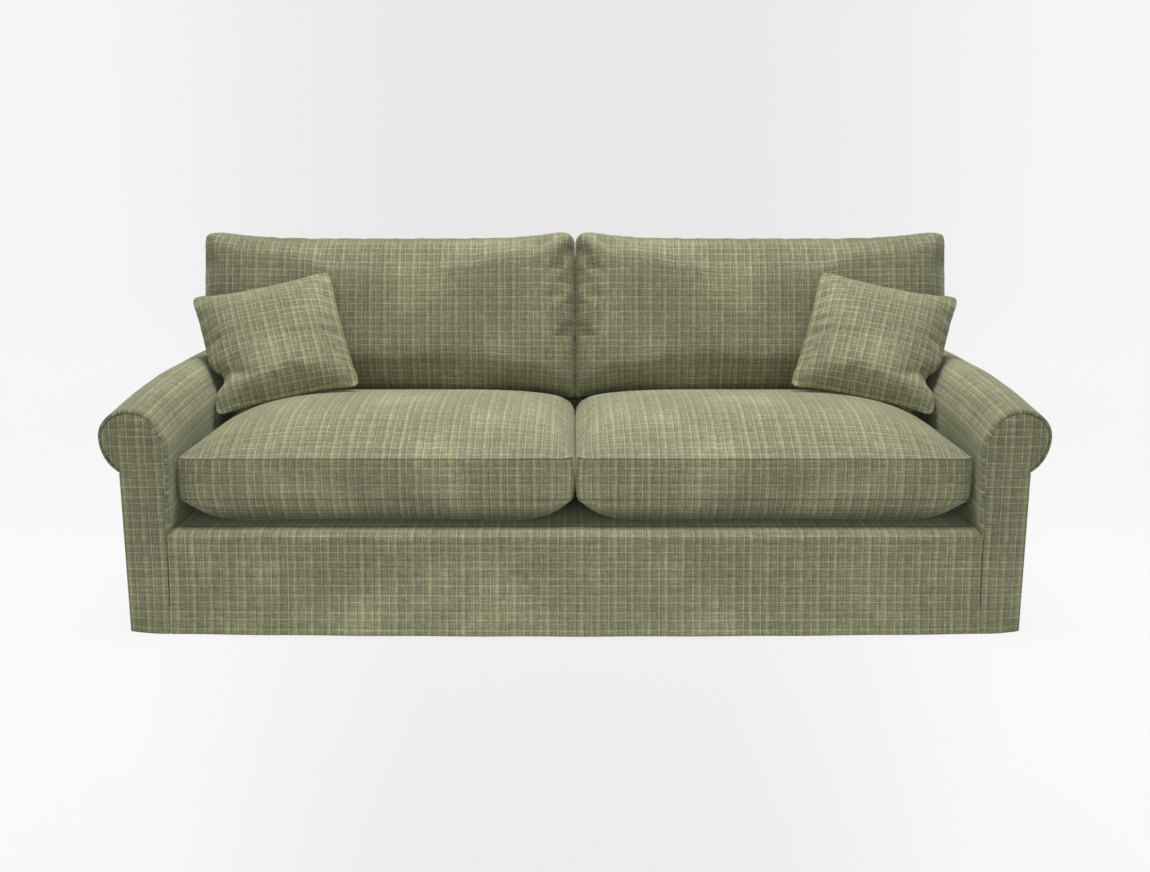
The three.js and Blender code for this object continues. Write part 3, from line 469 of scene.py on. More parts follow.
def check_cloth_group(settings):
    """Check cloth. Each thread system has its own row of stripes along one cloth coordinate, and a
    plain weave shows one or the other by turns; slubs and streaks run along the threads, and faint
    clouds and painted shade along seams, grooves and hems lie over both."""
    group, given, made = node_group(
        "Check cloth",
        [
            ("Cloth", "NodeSocketVector", None),
            ("Seam", "NodeSocketFloat", 0.0),
            ("Repeat", "NodeSocketFloat", settings.repeat),
            ("Pitch", "NodeSocketFloat", settings.pitch),
        ],
        [("Color", "NodeSocketColor"), ("Height", "NodeSocketFloat"), ("Roughness", "NodeSocketFloat")],
    )
    w = Wiring(group)
    cloth, seam = given.outputs["Cloth"], given.outputs["Seam"]
    repeat, pitch = given.outputs["Repeat"], given.outputs["Pitch"]
    across, along = w.parts(cloth)[:2]

    sage, taupe, pale, dark, yellow = (
        tuple(getattr(settings, key)) for key in ("sage", "taupe", "pale", "dark", "yellow")
    )
    glow = tuple(1.08 * c for c in yellow)
    shade = tuple(0.86 * c for c in dark)
    warp_stops = [
        (0.0, pale), (0.022, pale), (0.045, shade), (0.10, dark), (0.14, sage), (0.28, sage), (0.34, glow),
        (0.45, glow), (0.51, sage), (0.545, shade), (0.585, shade), (0.62, taupe), (0.90, taupe), (0.94, shade),
        (0.975, pale),
    ]
    weft_stops = [
        (0.0, pale), (0.022, pale), (0.05, dark), (0.085, sage), (0.33, sage), (0.38, yellow), (0.46, yellow),
        (0.505, dark), (0.545, dark), (0.58, taupe), (0.90, taupe), (0.945, dark), (0.975, pale),
    ]
    warp = w.ramp(w.math("FRACT", w.math("DIVIDE", across, repeat)), warp_stops)
    weft = w.ramp(w.math("FRACT", w.math("DIVIDE", along, repeat)), weft_stops)

    # Plain weave: the sign of a product of two sine waves says which thread lies on top.
    wave_across = w.math("SINE", w.math("MULTIPLY", w.math("DIVIDE", across, pitch), math.pi))
    wave_along = w.math("SINE", w.math("MULTIPLY", w.math("DIVIDE", along, pitch), math.pi))
    over = w.math("MULTIPLY", wave_across, wave_along)
    colour = w.mix(w.math("MULTIPLY_ADD", over, 0.8, 0.5, clamp=True), warp, weft)

    speckles = w.math("MULTIPLY", w.noise(cloth, (450.0, 450.0, 1.0), 2.0), 0.40)
    grain = w.math("MULTIPLY_ADD", w.threads(cloth, 420.0, 30.0, 3.0), 0.30, speckles)
    streaks = w.math("MULTIPLY", w.threads(cloth, 110.0, 5.0, 2.0), 0.5)
    clouds = w.noise(cloth, (4.6, 4.6, 1.0), 2.5, 0.5)
    for factor, stops in (
        (grain, [(0.34, 0.36), (0.5, 1.0), (0.66, 1.85)]),
        (streaks, [(0.36, 0.86), (0.5, 1.0), (0.64, 1.16)]),
        (clouds, [(0.28, 0.85), (0.52, 1.0), (0.76, 1.34)]),
        # painted shade: the seam share darkens the cloth in seams, grooves and along hems, where shade would fall
        (seam, [(0.0, 1.0), (1.0, 0.42)]),
    ):
        colour = w.toned(colour, factor, stops)
    group.links.new(colour, made.inputs["Color"])

    height = w.math("MULTIPLY_ADD", grain, 0.8, w.math("MULTIPLY", w.math("ABSOLUTE", over), 0.35))
    group.links.new(height, made.inputs["Height"])
    group.links.new(w.math("MULTIPLY_ADD", grain, 0.16, 0.80), made.inputs["Roughness"])
    return group


def grain_group():
    """Wood grain along Z of its vector: rings of a stretched noise, with fine pores over them."""
    group, given, made = node_group(
        "Wood grain",
        [("Vector", "NodeSocketVector", None), ("Light", "NodeSocketColor", None), ("Dark", "NodeSocketColor", None)],
        [("Color", "NodeSocketColor"), ("Height", "NodeSocketFloat"), ("Roughness", "NodeSocketFloat")],
    )
    w = Wiring(group)
    vector = given.outputs["Vector"]
    growth = w.noise(vector, (26.0, 26.0, 2.2), 3.0, 0.55)
    rings = w.math("PINGPONG", w.math("MULTIPLY", growth, 9.0), 1.0)
    pores = w.noise(vector, (900.0, 900.0, 30.0), 2.0)
    share = w.math("MULTIPLY_ADD", pores, 0.5, w.math("MULTIPLY", rings, 0.55), clamp=True)
    group.links.new(w.mix(share, given.outputs["Light"], given.outputs["Dark"]), made.inputs["Color"])
    group.links.new(share, made.inputs["Height"])
    group.links.new(w.math("MULTIPLY_ADD", share, 0.2, 0.45), made.inputs["Roughness"])
    return group


FINISH = {}


def finish_named(name):
    """A finish that the first step has made."""
    if name not in FINISH:
        raise RuntimeError("Make the finishes first")
    return FINISH[name]


def cloth_material(group, settings):
    """Check cloth on a piece's own cloth coordinates."""
    material, w, shader = new_material("Check cloth")
    tree = material.node_tree
    uv = tree.nodes.new("ShaderNodeUVMap")
    uv.uv_map = "Cloth"
    # The painted shade of seams, grooves and hems that each piece carries
    seam = tree.nodes.new("ShaderNodeAttribute")
    seam.attribute_name = "Seam"
    cloth = tree.nodes.new("ShaderNodeGroup")
    cloth.node_tree = group
    tree.links.new(uv.outputs[0], cloth.inputs["Cloth"])
    tree.links.new(seam.outputs["Fac"], cloth.inputs["Seam"])
    cloth.inputs["Repeat"].default_value = settings.repeat
    cloth.inputs["Pitch"].default_value = settings.pitch
    tree.links.new(cloth.outputs["Color"], shader.inputs["Base Color"])
    tree.links.new(cloth.outputs["Roughness"], shader.inputs["Roughness"])
    shader.inputs["Specular IOR Level"].default_value = 0.3
    shader.inputs["Sheen Weight"].default_value = 0.4
    shader.inputs["Sheen Roughness"].default_value = 0.35
    shader.inputs["Sheen Tint"].default_value = (0.85, 0.88, 0.65, 1.0)
    w.bump(shader, cloth.outputs["Height"], 0.0006, 0.5)
    return material


def wood_material(name, group, light, dark, turn):
    """Wood whose grain runs along Z once its coordinates are turned."""
    material, w, shader = new_material(name)
    tree = material.node_tree
    mapping = tree.nodes.new("ShaderNodeMapping")
    mapping.inputs["Rotation"].default_value = turn
    tree.links.new(w.object_place(), mapping.inputs["Vector"])
    grain = tree.nodes.new("ShaderNodeGroup")
    grain.node_tree = group
    tree.links.new(mapping.outputs[0], grain.inputs["Vector"])
    grain.inputs["Light"].default_value = (*light, 1.0)
    grain.inputs["Dark"].default_value = (*dark, 1.0)
    tree.links.new(grain.outputs["Color"], shader.inputs["Base Color"])
    tree.links.new(grain.outputs["Roughness"], shader.inputs["Roughness"])
    w.bump(shader, grain.outputs["Height"], 0.0003, 0.6)
    return material


def steel_material():
    """Drawn spring wire: grey steel with fine scratches and a few dull spots."""
    material, w, shader = new_material("Spring wire")
    place = w.object_place()
    spots = w.noise(place, (60.0, 60.0, 60.0), 3.0)
    scratches = w.noise(place, (1500.0, 200.0, 1500.0), 1.0)
    colour = w.ramp(spots, [(0.35, (0.34, 0.35, 0.37)), (0.6, (0.46, 0.47, 0.49)), (0.75, (0.30, 0.27, 0.24))])
    w.feed(shader.inputs["Base Color"], colour)
    w.feed(shader.inputs["Roughness"], w.math("MULTIPLY_ADD", scratches, 0.3, 0.25))
    shader.inputs["Metallic"].default_value = 1.0
    w.bump(shader, scratches, 0.0001)
    return material


def tape_material(name, light, dark, pitch, bump):
    """Twill tape: slanting ridges one pitch apart over a slightly uneven ground."""
    material, w, shader = new_material(name)
    place = w.object_place()
    x, y, z = w.parts(place)
    slant = w.math("ADD", w.math("ADD", x, y), z)
    ridge = w.math("PINGPONG", w.math("DIVIDE", slant, pitch), 1.0)
    uneven = w.noise(place, (130.0, 130.0, 130.0), 3.0)
    share = w.math("MULTIPLY_ADD", ridge, 0.45, w.math("MULTIPLY", uneven, 0.55), clamp=True)
    w.feed(shader.inputs["Base Color"], w.ramp(share, [(0.1, dark), (0.8, light)]))
    w.feed(shader.inputs["Roughness"], w.math("MULTIPLY_ADD", uneven, 0.2, 0.72))
    w.bump(shader, ridge, bump)
    return material


def undercloth_material():
    """Thin black undercloth: matted fibres with a grid of tiny pressed points."""
    material, w, shader = new_material("Undercloth")
    place = w.object_place()
    fibres = w.noise(place, (700.0, 160.0, 300.0), 4.0, 0.7)
    points = material.node_tree.nodes.new("ShaderNodeTexVoronoi")
    points.inputs["Scale"].default_value = 450.0
    w.feed(points.inputs["Vector"], place)
    w.feed(shader.inputs["Base Color"], w.ramp(fibres, [(0.3, (0.018, 0.018, 0.019)), (0.7, (0.05, 0.05, 0.052))]))
    w.feed(shader.inputs["Roughness"], w.math("MULTIPLY_ADD", fibres, 0.2, 0.75))
    w.bump(shader, points.outputs["Distance"], 0.0003)
    return material


GRAIN_ALONG = {"x": (0.0, math.pi / 2, 0.0), "y": (math.pi / 2, 0.0, 0.0), "z": (0.0, 0.0, 0.0)}
TIMBER = {
    "x": ("front_rail", "rear_seat_rail", "rear_bottom_rail", "back_top_rail"),
    "y": ("side_rail_right", "side_rail_left", "centre_rail", "arm_tuck_rail_right", "arm_tuck_rail_left",
          "arm_roll_board_right", "arm_roll_board_left"),
    "z": ("arm_front_board_right", "arm_front_board_left", "back_post_right", "back_post_left", "back_post_centre"),
}


BEECH = (0.56, 0.38, 0.22), (0.36, 0.21, 0.10)
STAINED = (0.16, 0.085, 0.045), (0.05, 0.026, 0.014)
JUTE = (0.30, 0.24, 0.16), (0.09, 0.07, 0.05)
ZIP_TAPE = (0.22, 0.22, 0.13), (0.11, 0.11, 0.065)
NODE_FINISHES = (
    ("seat_springs_right", "steel"),
    ("seat_springs_left", "steel"),
    ("back_webbing", "webbing"),
    ("dust_cover", "undercloth"),
)


class SOFA_OT_finishes(bpy.types.Operator):
    """Makes the cloth and the other finishes, and gives the frame's own nodes theirs"""

    bl_idname = "sofa.finishes"
    bl_label = "Finishes"

    def execute(self, context):
        settings = context.scene.sofa_cloth
        FINISH["cloth"] = cloth_material(check_cloth_group(settings), settings)
        wood = grain_group()
        for axis, names in TIMBER.items():
            material = wood_material(f"Beech along {axis.upper()}", wood, *BEECH, GRAIN_ALONG[axis])
            for name in names:
                self.dress(name, material)
        FINISH["foot"] = wood_material("Stained foot", wood, *STAINED, GRAIN_ALONG["z"])
        FINISH["steel"] = steel_material()
        FINISH["webbing"] = tape_material("Webbing", *JUTE, pitch=0.0022, bump=0.0004)
        FINISH["tape"] = tape_material("Zip tape", *ZIP_TAPE, pitch=0.0009, bump=0.0002)
        FINISH["undercloth"] = undercloth_material()
        for name, finish in NODE_FINISHES:
            self.dress(name, FINISH[finish])
        return {"FINISHED"}

    @staticmethod
    def dress(node, material):
        """Gives a node of the frame its only material."""
        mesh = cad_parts[node].data
        mesh.materials.clear()
        mesh.materials.append(material)


# Loose cushions

CASE_INSET = 0.004
CORNER_RADIUS = 0.026
ABOVE_SEAM = 1e-4
SEAM_SHADE = 0.35
BACK_CUSHION_FOOT = 0.4595
SCATTER_PLACE = 0.842, 0.076, 0.654
SCATTER_ANGLES = 8.6, 38.8, 12.1

# How far the simulation may move a point of a crown, of a band or an underside, and of a scatter cushion
CROWN_CAP, REST_CAP, SCATTER_CAP = 0.022, 0.003, 0.012

# Where a band lies flat behind its zip: the rows beyond the first place are held back to the second
SEAT_BAND_REAR, SEAT_ZIP_FACE = 0.30, 0.3366
BACK_BAND_FOOT, BACK_ZIP_FACE = 0.02, 0.0008

# Centre across the cushion, length, height of the tape and thickness of each zip
SEAT_ZIP = 0.4901, 0.600, 0.008, 0.003
BACK_ZIP = 0.4921, 0.700, 0.008, 0.003
SCATTER_ZIP = 0.0, 0.150, 0.003, 0.002


def rounded(points, corners):
    """Rounds the corners of a flat panel: in each corner's square, (u, v) from 0 to 1 goes to
    (u sqrt(1 - v^2/2), v sqrt(1 - u^2/2)), which turns the square into a quarter of a disc."""
    out = points.copy()
    for cx, cy, sx, sy, radius in corners:
        start, side = np.array([cx - sx * radius, cy - sy * radius]), radius * np.array([sx, sy])
        square = (points - start) / side
        inside = (square > 0).all(axis=-1, keepdims=True)
        u, v = np.moveaxis(np.clip(square, 0, 1), -1, 0)
        disc = np.stack([u * np.sqrt(1 - v**2 / 2), v * np.sqrt(1 - u**2 / 2)], axis=-1)
        out = np.where(inside, start + side * disc, out)
    return out


def running_length(points, axis):
    """Length along a grid from its first row or column."""
    steps = np.linalg.norm(np.diff(points, axis=axis), axis=-1)
    zero = np.zeros_like(np.take(steps, [0], axis=axis))
    return np.cumsum(np.concatenate([zero, steps], axis=axis), axis=axis)


def panel_cloth(flat, panel, sign):
    """Cloth coordinates of a crowned panel: lengths along its middle column from the front seam, and
    along its middle row to both sides of its middle, with what a corner draws in added to both. The
    sign turns them over on an underside."""
    i, j = flat.shape[0] // 2, flat.shape[1] // 2
    u = running_length(panel[:, j][None], 1)[0]
    v = running_length(panel[i][None], 1)[0]
    u = u - u[i] + flat[i, j, 0]
    across = u[:, None] + flat[..., 0] - flat[:, j, 0][:, None]
    return grid_of(across, sign * (v[None] + flat[..., 1] - flat[i, :, 1][None]))


def band_shares(height, lip):
    """Places of a band's rings between its seams: the seams, a groove beside each, and even rings
    with closer ones round the middle for a zip."""
    zip_rings = 0.5 + np.array([-0.0085, -0.0062, 0.0, 0.0062, 0.0085]) / height
    start = np.array([0.0, lip, 2.2 * lip]) / height
    return np.concatenate([start, np.linspace(0.1, 0.4, 4), zip_rings, np.linspace(0.6, 0.9, 4), 1 - start[::-1]])


def boxed_cushion(name, shape):
    """A boxed cushion in its own coordinates: a grid over its flat outline, raised by the upper crown
    and lowered by the lower one, and a band of rings round it. A ring is the outline moved out by
    bulge times 1 - (2t - 1)^2, less a groove beside each seam. Also gives the points of its seams."""
    xs, ys = shape["xs"], shape["ys"]
    flat = grid_of(xs[:, None], ys[None])
    n, m = len(xs) - 1, len(ys) - 1
    keep = np.ones((n, m), bool)
    i1, j1 = n, 0
    if "notch" in shape:
        i1, j1 = (int(np.argmin(abs(line - at))) for line, at in zip((xs, ys), shape["notch"]))
        keep[i1:, :j1] = False
    flat = rounded(flat, shape["corners"])
    if "warp" in shape:
        flat = shape["warp"](flat)
    loop = [(i, 0) for i in range(i1)] + [(i1, j) for j in range(j1)] + [(i, j1) for i in range(i1, n)]
    loop += [(n, j) for j in range(j1, m)] + [(i, m) for i in range(n, 0, -1)] + [(0, j) for j in range(m, 0, -1)]
    loop = np.array(loop)
    low, high = shape["band"]
    crown_up, crown_down = shape["blown"] * shape["upper"](flat), shape["lower"](flat)
    edge = np.zeros(flat.shape[:2], bool)
    edge[loop[:, 0], loop[:, 1]] = True
    crown_up[edge] = crown_down[edge] = 0
    top = np.concatenate([flat, (high + crown_up)[..., None]], axis=-1)
    bottom = np.concatenate([flat, (low - crown_down)[..., None]], axis=-1)

    rim = flat[loop[:, 0], loop[:, 1]]
    tangent = np.roll(rim, -1, axis=0) - np.roll(rim, 1, axis=0)
    tangent /= np.linalg.norm(tangent, axis=1, keepdims=True)
    outward = np.stack([tangent[:, 1], -tangent[:, 0]], axis=1)
    lip, groove = 0.0017, 0.0024
    height = high - low
    shares = band_shares(height, lip)
    out = shape["bulge"] * (1 - (2 * shares - 1) ** 2)
    out[[0, -1]] = 0.0
    out[[1, -2]] = -groove
    rings = rim[None] + outward[None] * out[:, None, None]
    z = (low + shares * height)[:, None] * np.ones(len(rim))
    band = np.concatenate([rings, z[..., None]], axis=-1)
    band = np.concatenate([band, band[:, :1]], axis=1)
    around = running_length(np.concatenate([rim, rim[:1]])[None], 1)[0]
    around += rim[i1 // 2, 0] - around[i1 // 2]
    band_uv = grid_of(around[None], (z[:, 0] - high)[:, None])
    # Painted shade: the grooves beside the seams get full darkness, the seams themselves SEAM_SHADE of it
    dark = np.zeros(len(shares))
    dark[[1, -2]], dark[[0, -1]] = 1.0, SEAM_SHADE

    shift = shape["uv_shift"]
    # Painted shade along the panels' edges at their seams
    seam = np.where(edge, SEAM_SHADE, 0.0)
    patches = [
        patch(top, panel_cloth(flat, top, 1) + shift, keep, flip=True, seam=seam),
        patch(bottom, panel_cloth(flat, bottom, -1) + shift - (0.0, height), keep, seam=seam),
        patch(band, band_uv + shift, seam=dark[:, None]),
    ]
    return piece(name, patches, [finish_named("cloth")]), band[[0, 1, 2, -3, -2, -1], :-1].reshape(-1, 3)


def cells(points):
    """One number for the tenth of a millimetre that each point lies in."""
    return np.round(points * 1e4).astype(np.int64) @ np.array([1, 10**6, 10**12])


def inflate(obj, pinned, cap, excess=0.02, stiffness=12.0, frames=14):
    """Blows the cushion up between its seams with a short cloth simulation, and keeps the result. No
    point moves further than its cap; excess is the share by which the cloth is cut larger."""
    before = coordinates(obj)
    held = np.isin(cells(before), cells(pinned))
    obj.vertex_groups.new(name="Seams").add(np.nonzero(held)[0].tolist(), 1.0, "REPLACE")
    cloth = obj.modifiers.new("Cloth", "CLOTH")
    given = cloth.settings
    given.quality = 5
    given.mass = 0.3
    given.tension_stiffness = given.compression_stiffness = stiffness
    given.shear_stiffness = 4.0
    given.bending_stiffness = 1.5
    given.use_pressure = True
    given.uniform_pressure_force = 4.0
    given.shrink_min = -excess
    given.vertex_group_mass = "Seams"
    given.effector_weights.gravity = 0.0
    cloth.collision_settings.use_collision = False
    cloth.collision_settings.use_self_collision = False
    cloth.point_cache.frame_start = 1
    cloth.point_cache.frame_end = frames
    scene = bpy.context.scene
    for number in range(1, frames + 1):
        scene.frame_set(number)
    done = obj.evaluated_get(bpy.context.evaluated_depsgraph_get())
    after = np.empty(len(done.data.vertices) * 3, np.float32)
    done.data.vertices.foreach_get("co", after)
    move = after.reshape(-1, 3).astype(float) - before
    obj.modifiers.clear()
    obj.vertex_groups.clear()
    scene.frame_set(1)
    length = np.linalg.norm(move, axis=1)
    move *= (np.minimum(length, cap) / np.maximum(length, 1e-9))[:, None]
    set_coordinates(obj, before + move)


def crowned_cushion(name, shape, wave, spare, width):
    """A boxed cushion whose crown is blown up, gently waved and kept under its full height and a
    little to spare, and the points that it then has."""
    obj, seams = boxed_cushion(name, shape)
    foot = shape["band"][1]
    inflate(obj, seams, np.where(coordinates(obj)[:, 2] > foot + ABOVE_SEAM, CROWN_CAP, REST_CAP))
    points = coordinates(obj)
    crown = points[:, 2] > foot + ABOVE_SEAM
    points[:, 2] += np.where(crown, waves(points, *wave), 0.0)
    ceiling = foot + shape["upper"](points[:, :2]) + spare
    points[:, 2] = np.where(crown, soft_least(points[:, 2], ceiling, width), points[:, 2])
    return obj, points


def under_zip(points, zip_sizes, middle):
    """Which points of a band lie at the height and the length of its zip, with a rim round it."""
    centre, length, height, _ = zip_sizes
    return (abs(points[:, 2] - middle) < height / 2 + 0.0026) & (abs(points[:, 0] - centre) < length / 2 + 0.004)


def finish_pair(obj, stem, to_world):
    """Smooths a right-hand cushion, puts it in its place, mirrors it, and lets both ride."""
    refine(obj)
    bake_modifiers(obj)
    obj.data.shade_smooth()
    set_coordinates(obj, to_world(coordinates(obj)))
    for side, made in both_sides(obj, f"{stem}_left"):
        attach(made, f"{stem}_{side}")
        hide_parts(f"{stem}_case_{side}", f"{stem}_filling_{side}")


def seat_frame(points):
    """The seat cushion's own coordinates are the room's."""
    return points


def back_frame(points):
    """Turns the back cushion's own coordinates (across, up the lean, out of the back) into the room's."""
    origin = np.array([0.0, inside_back(BACK_CUSHION_FOOT, -FIT), BACK_CUSHION_FOOT])
    up = (0.0, math.sin(LEAN), math.cos(LEAN))
    out = (0.0, -math.cos(LEAN), math.sin(LEAN))
    return origin + points @ np.array([(1.0, 0.0, 0.0), up, out])


def scatter_frame(points):
    """Puts the scatter cushion in its place: turned to the middle, leaning back, and hanging down at
    its outer side."""
    turn, lean, roll = (math.radians(a) for a in SCATTER_ANGLES)
    upright = Matrix.Rotation(-turn, 3, "Z") @ Matrix.Rotation(math.pi / 2 - lean, 3, "X")
    turned = upright @ Matrix.Rotation(-roll, 3, "Z")
    return points @ np.array(turned).T + np.array(SCATTER_PLACE)


def seat_shape(settings):
    """The seat cushion's outline, seams and crowns. With u and v from -1 to 1, the crown is height
    times (1 - |v|^3.2) in front and (1 - 0.62 |v|^1.45 - 0.38 |v|^8) behind, times (1 - |u|^4) on the
    arm's side and (1 - (|u|^5 + |u|^50) / 2) on the other. The lower one is drop (1 - v^14)(1 - u^10)."""
    low, high = SEAT_LOW + [CASE_INSET, CASE_INSET, 0.0], SEAT_HIGH - [CASE_INSET, CASE_INSET, 0.0]
    centre, half = (low + high)[:2] / 2, (high - low)[:2] / 2
    rise = SEAT_HIGH[2] - settings.seat_seam_high - 0.002
    drop = settings.seat_seam_low - SEAT_LOW[2]

    def upper(flat):
        u = np.clip((flat[..., 0] - centre[0]) / half[0], -1, 1)
        v = np.clip((flat[..., 1] - centre[1]) / half[1], -1, 1)
        middle = u < 0
        u, v, front = np.abs(u), np.abs(v), v < 0
        deep = np.where(front, 1 - v**3.2, 1 - 0.62 * v**1.45 - 0.38 * v**8)
        return rise * deep * np.where(middle, 1 - (u**5 + u**50) / 2, 1 - u**4)

    def lower(flat):
        u = np.clip(np.abs(flat[..., 0] - centre[0]) / half[0], 0, 1)
        v = np.clip(np.abs(flat[..., 1] - centre[1]) / half[1], 0, 1)
        return drop * np.minimum((1 - v**14) * (1 - u**10) * 1.06, 1)

    return {
        "xs": edge_lines(low[0], high[0], 68),
        "ys": edge_lines(low[1], high[1], 54),
        "corners": [
            (x, y, sx, sy, CORNER_RADIUS)
            for x, sx in ((low[0], -1), (high[0], 1))
            for y, sy in ((low[1], -1), (high[1], 1))
        ],
        "band": (settings.seat_seam_low, settings.seat_seam_high),
        "blown": 0.90,
        "upper": upper,
        "lower": lower,
        "bulge": 0.0035,
        "uv_shift": (0.0, 0.0),
    }


class SOFA_OT_seat_cushions(bpy.types.Operator):
    """Makes the two boxed seat cushions"""

    bl_idname = "sofa.seat_cushions"
    bl_label = "Seat cushions"

    def execute(self, context):
        settings = context.scene.sofa_cushions
        shape = seat_shape(settings)
        obj, points = crowned_cushion("seat_cushion_right", shape, wave=(0.30, 0.0016, 3), spare=0.003, width=0.004)
        points[:, 2] = np.maximum(points[:, 2], SEAT_LOW[2])
        points[:, 0] = np.clip(points[:, 0], SEAT_LOW[0], SEAT_HIGH[0])
        points[:, 1] = np.clip(points[:, 1], SEAT_LOW[1] - CASE_INSET, SEAT_HIGH[1])
        middle = (settings.seat_seam_low + settings.seat_seam_high) / 2
        zipped = (points[:, 1] > SEAT_BAND_REAR) & under_zip(points, SEAT_ZIP, middle)
        points[zipped, 1] = np.minimum(points[zipped, 1], SEAT_ZIP_FACE)
        set_coordinates(obj, points)
        finish_pair(obj, "seat_cushion", seat_frame)
        return {"FINISHED"}


def back_shape(settings):
    """The back cushion's outline in its own plane: a long panel with an ear over the arm. The crown
    is height (1 - (1 - s)^2.4), a tenth fuller halfway up, where s is a smooth least of the distances
    to the edges, each over that edge's reach. The top edge dips by dip (1 - |t|^4.5) in its middle."""
    left, beside, right = SEAT_LOW[0] + CASE_INSET, BETWEEN_ARMS - CASE_INSET, BODY_HALF - CASE_INSET
    ear, length, dip, height = 0.151, settings.back_length, 0.0185, 0.060
    near, rear = NEAR_SEAM, NEAR_SEAM[::-1]
    over_arm = np.linspace(beside + 0.026, right - 0.026, 7)
    xs = np.concatenate([edge_lines(left, beside, 66)[:-1], beside + near, over_arm, right - rear])
    below, above = np.linspace(0.026, ear - 0.012, 9), np.linspace(ear + 0.027, length - 0.026, 22)
    ys = np.concatenate([near, below, ear + near, above, length - rear])
    corners = [
        (left, 0.0, -1, -1, 0.007),
        (beside, 0.0, 1, -1, 0.018),
        (right, ear, 1, -1, 0.022),
        (right, length, 1, 1, 0.034),
        (left, length, -1, 1, 0.028),
    ]
    outline = [(left, 0.0), (beside, 0.0), (beside, ear), (right, ear), (right, length), (left, length)]
    reaches = (0.055, 0.06, 0.055, 0.065, 0.048, 0.065)

    def warp(flat):
        t = np.clip(np.abs(flat[..., 0] - (left + right) / 2) / ((right - left) * 0.46), 0, 1)
        out = flat.copy()
        out[..., 1] -= dip * (1 - t**4.5) * np.clip(flat[..., 1] / length, 0, 1) ** 2
        return out

    def upper(flat):
        sharpness = 7.0
        total = np.zeros(flat.shape[:-1])
        for a, b, reach in zip(outline, outline[1:] + outline[:1], reaches):
            a, b = np.array(a), np.array(b)
            t = np.clip(((flat - a) @ (b - a)) / ((b - a) @ (b - a)), 0, 1)
            away = np.linalg.norm(flat - (a + t[..., None] * (b - a)), axis=-1)
            total += np.exp(-sharpness * away / reach)
        soft = np.clip(-np.log(total) / sharpness + 0.03, 0, 1)
        fuller = 1 + 0.10 * np.sin(np.pi * np.clip(flat[..., 1] / length, 0, 1))
        return height * (1 - (1 - soft) ** 2.4) * fuller

    def lower(flat):
        return np.zeros(flat.shape[:-1])

    return {
        "xs": xs,
        "ys": ys,
        "notch": (beside, ear),
        "corners": corners,
        "warp": warp,
        "band": (0.0, settings.back_band),
        "blown": 0.88,
        "upper": upper,
        "lower": lower,
        "bulge": 0.004,
        "uv_shift": (0.0, 0.012),
    }


class SOFA_OT_back_cushions(bpy.types.Operator):
    """Makes the two boxed back cushions with their ears over the arms"""

    bl_idname = "sofa.back_cushions"
    bl_label = "Back cushions"

    def execute(self, context):
        settings = context.scene.sofa_cushions
        shape = back_shape(settings)
        obj, points = crowned_cushion("back_cushion_right", shape, wave=(0.26, 0.0020, 5), spare=0.006, width=0.006)
        points[:, 2] = np.maximum(points[:, 2], 0.0)
        points[:, 1] -= self.sag(points[:, 0]) * np.clip(1 - points[:, 1] / 0.14, 0, 1) ** 2
        points[:, 0] = np.maximum(points[:, 0], SEAT_LOW[0])
        zipped = (points[:, 1] < BACK_BAND_FOOT) & under_zip(points, BACK_ZIP, settings.back_band / 2)
        points[zipped, 1] = np.maximum(points[zipped, 1], BACK_ZIP_FACE)
        set_coordinates(obj, points)
        finish_pair(obj, "back_cushion", back_frame)
        return {"FINISHED"}

    @staticmethod
    def sag(x):
        """How far the foot sags: 4 mm, and up to 22 mm at the middle of the sofa, where the seat
        cushion's crown falls away, by the crown's own powers of u."""
        least, more, seat_half = 0.004, 0.018, 0.4876
        u = np.clip(1 - (x - SEAT_LOW[0]) / seat_half, 0, 1)
        return least + more * (u**5 + u**50) / 2


CREASES = (
    ((0.78, -0.46), (0.45, -0.18), 0.010),
    ((-0.50, -0.14), (-0.95, -0.62), 0.005),
    ((0.72, -0.50), (0.40, -0.62), 0.006),
)


def creases(place):
    """Depth of the dents from each crease's start to its end, in shares of the half side: depth times
    exp(-(d / 0.055)^2), fading by 0.6 on the way."""
    dents = np.zeros(place.shape[:-1])
    for start, end, depth in CREASES:
        start, along = np.array(start), np.array(end) - np.array(start)
        share = np.clip(((place - start) @ along) / (along @ along), 0, 1)
        away = np.linalg.norm(place - (start + share[..., None] * along), axis=-1)
        dents += depth * np.exp(-((away / 0.055) ** 2)) * (1 - 0.6 * share)
    return dents


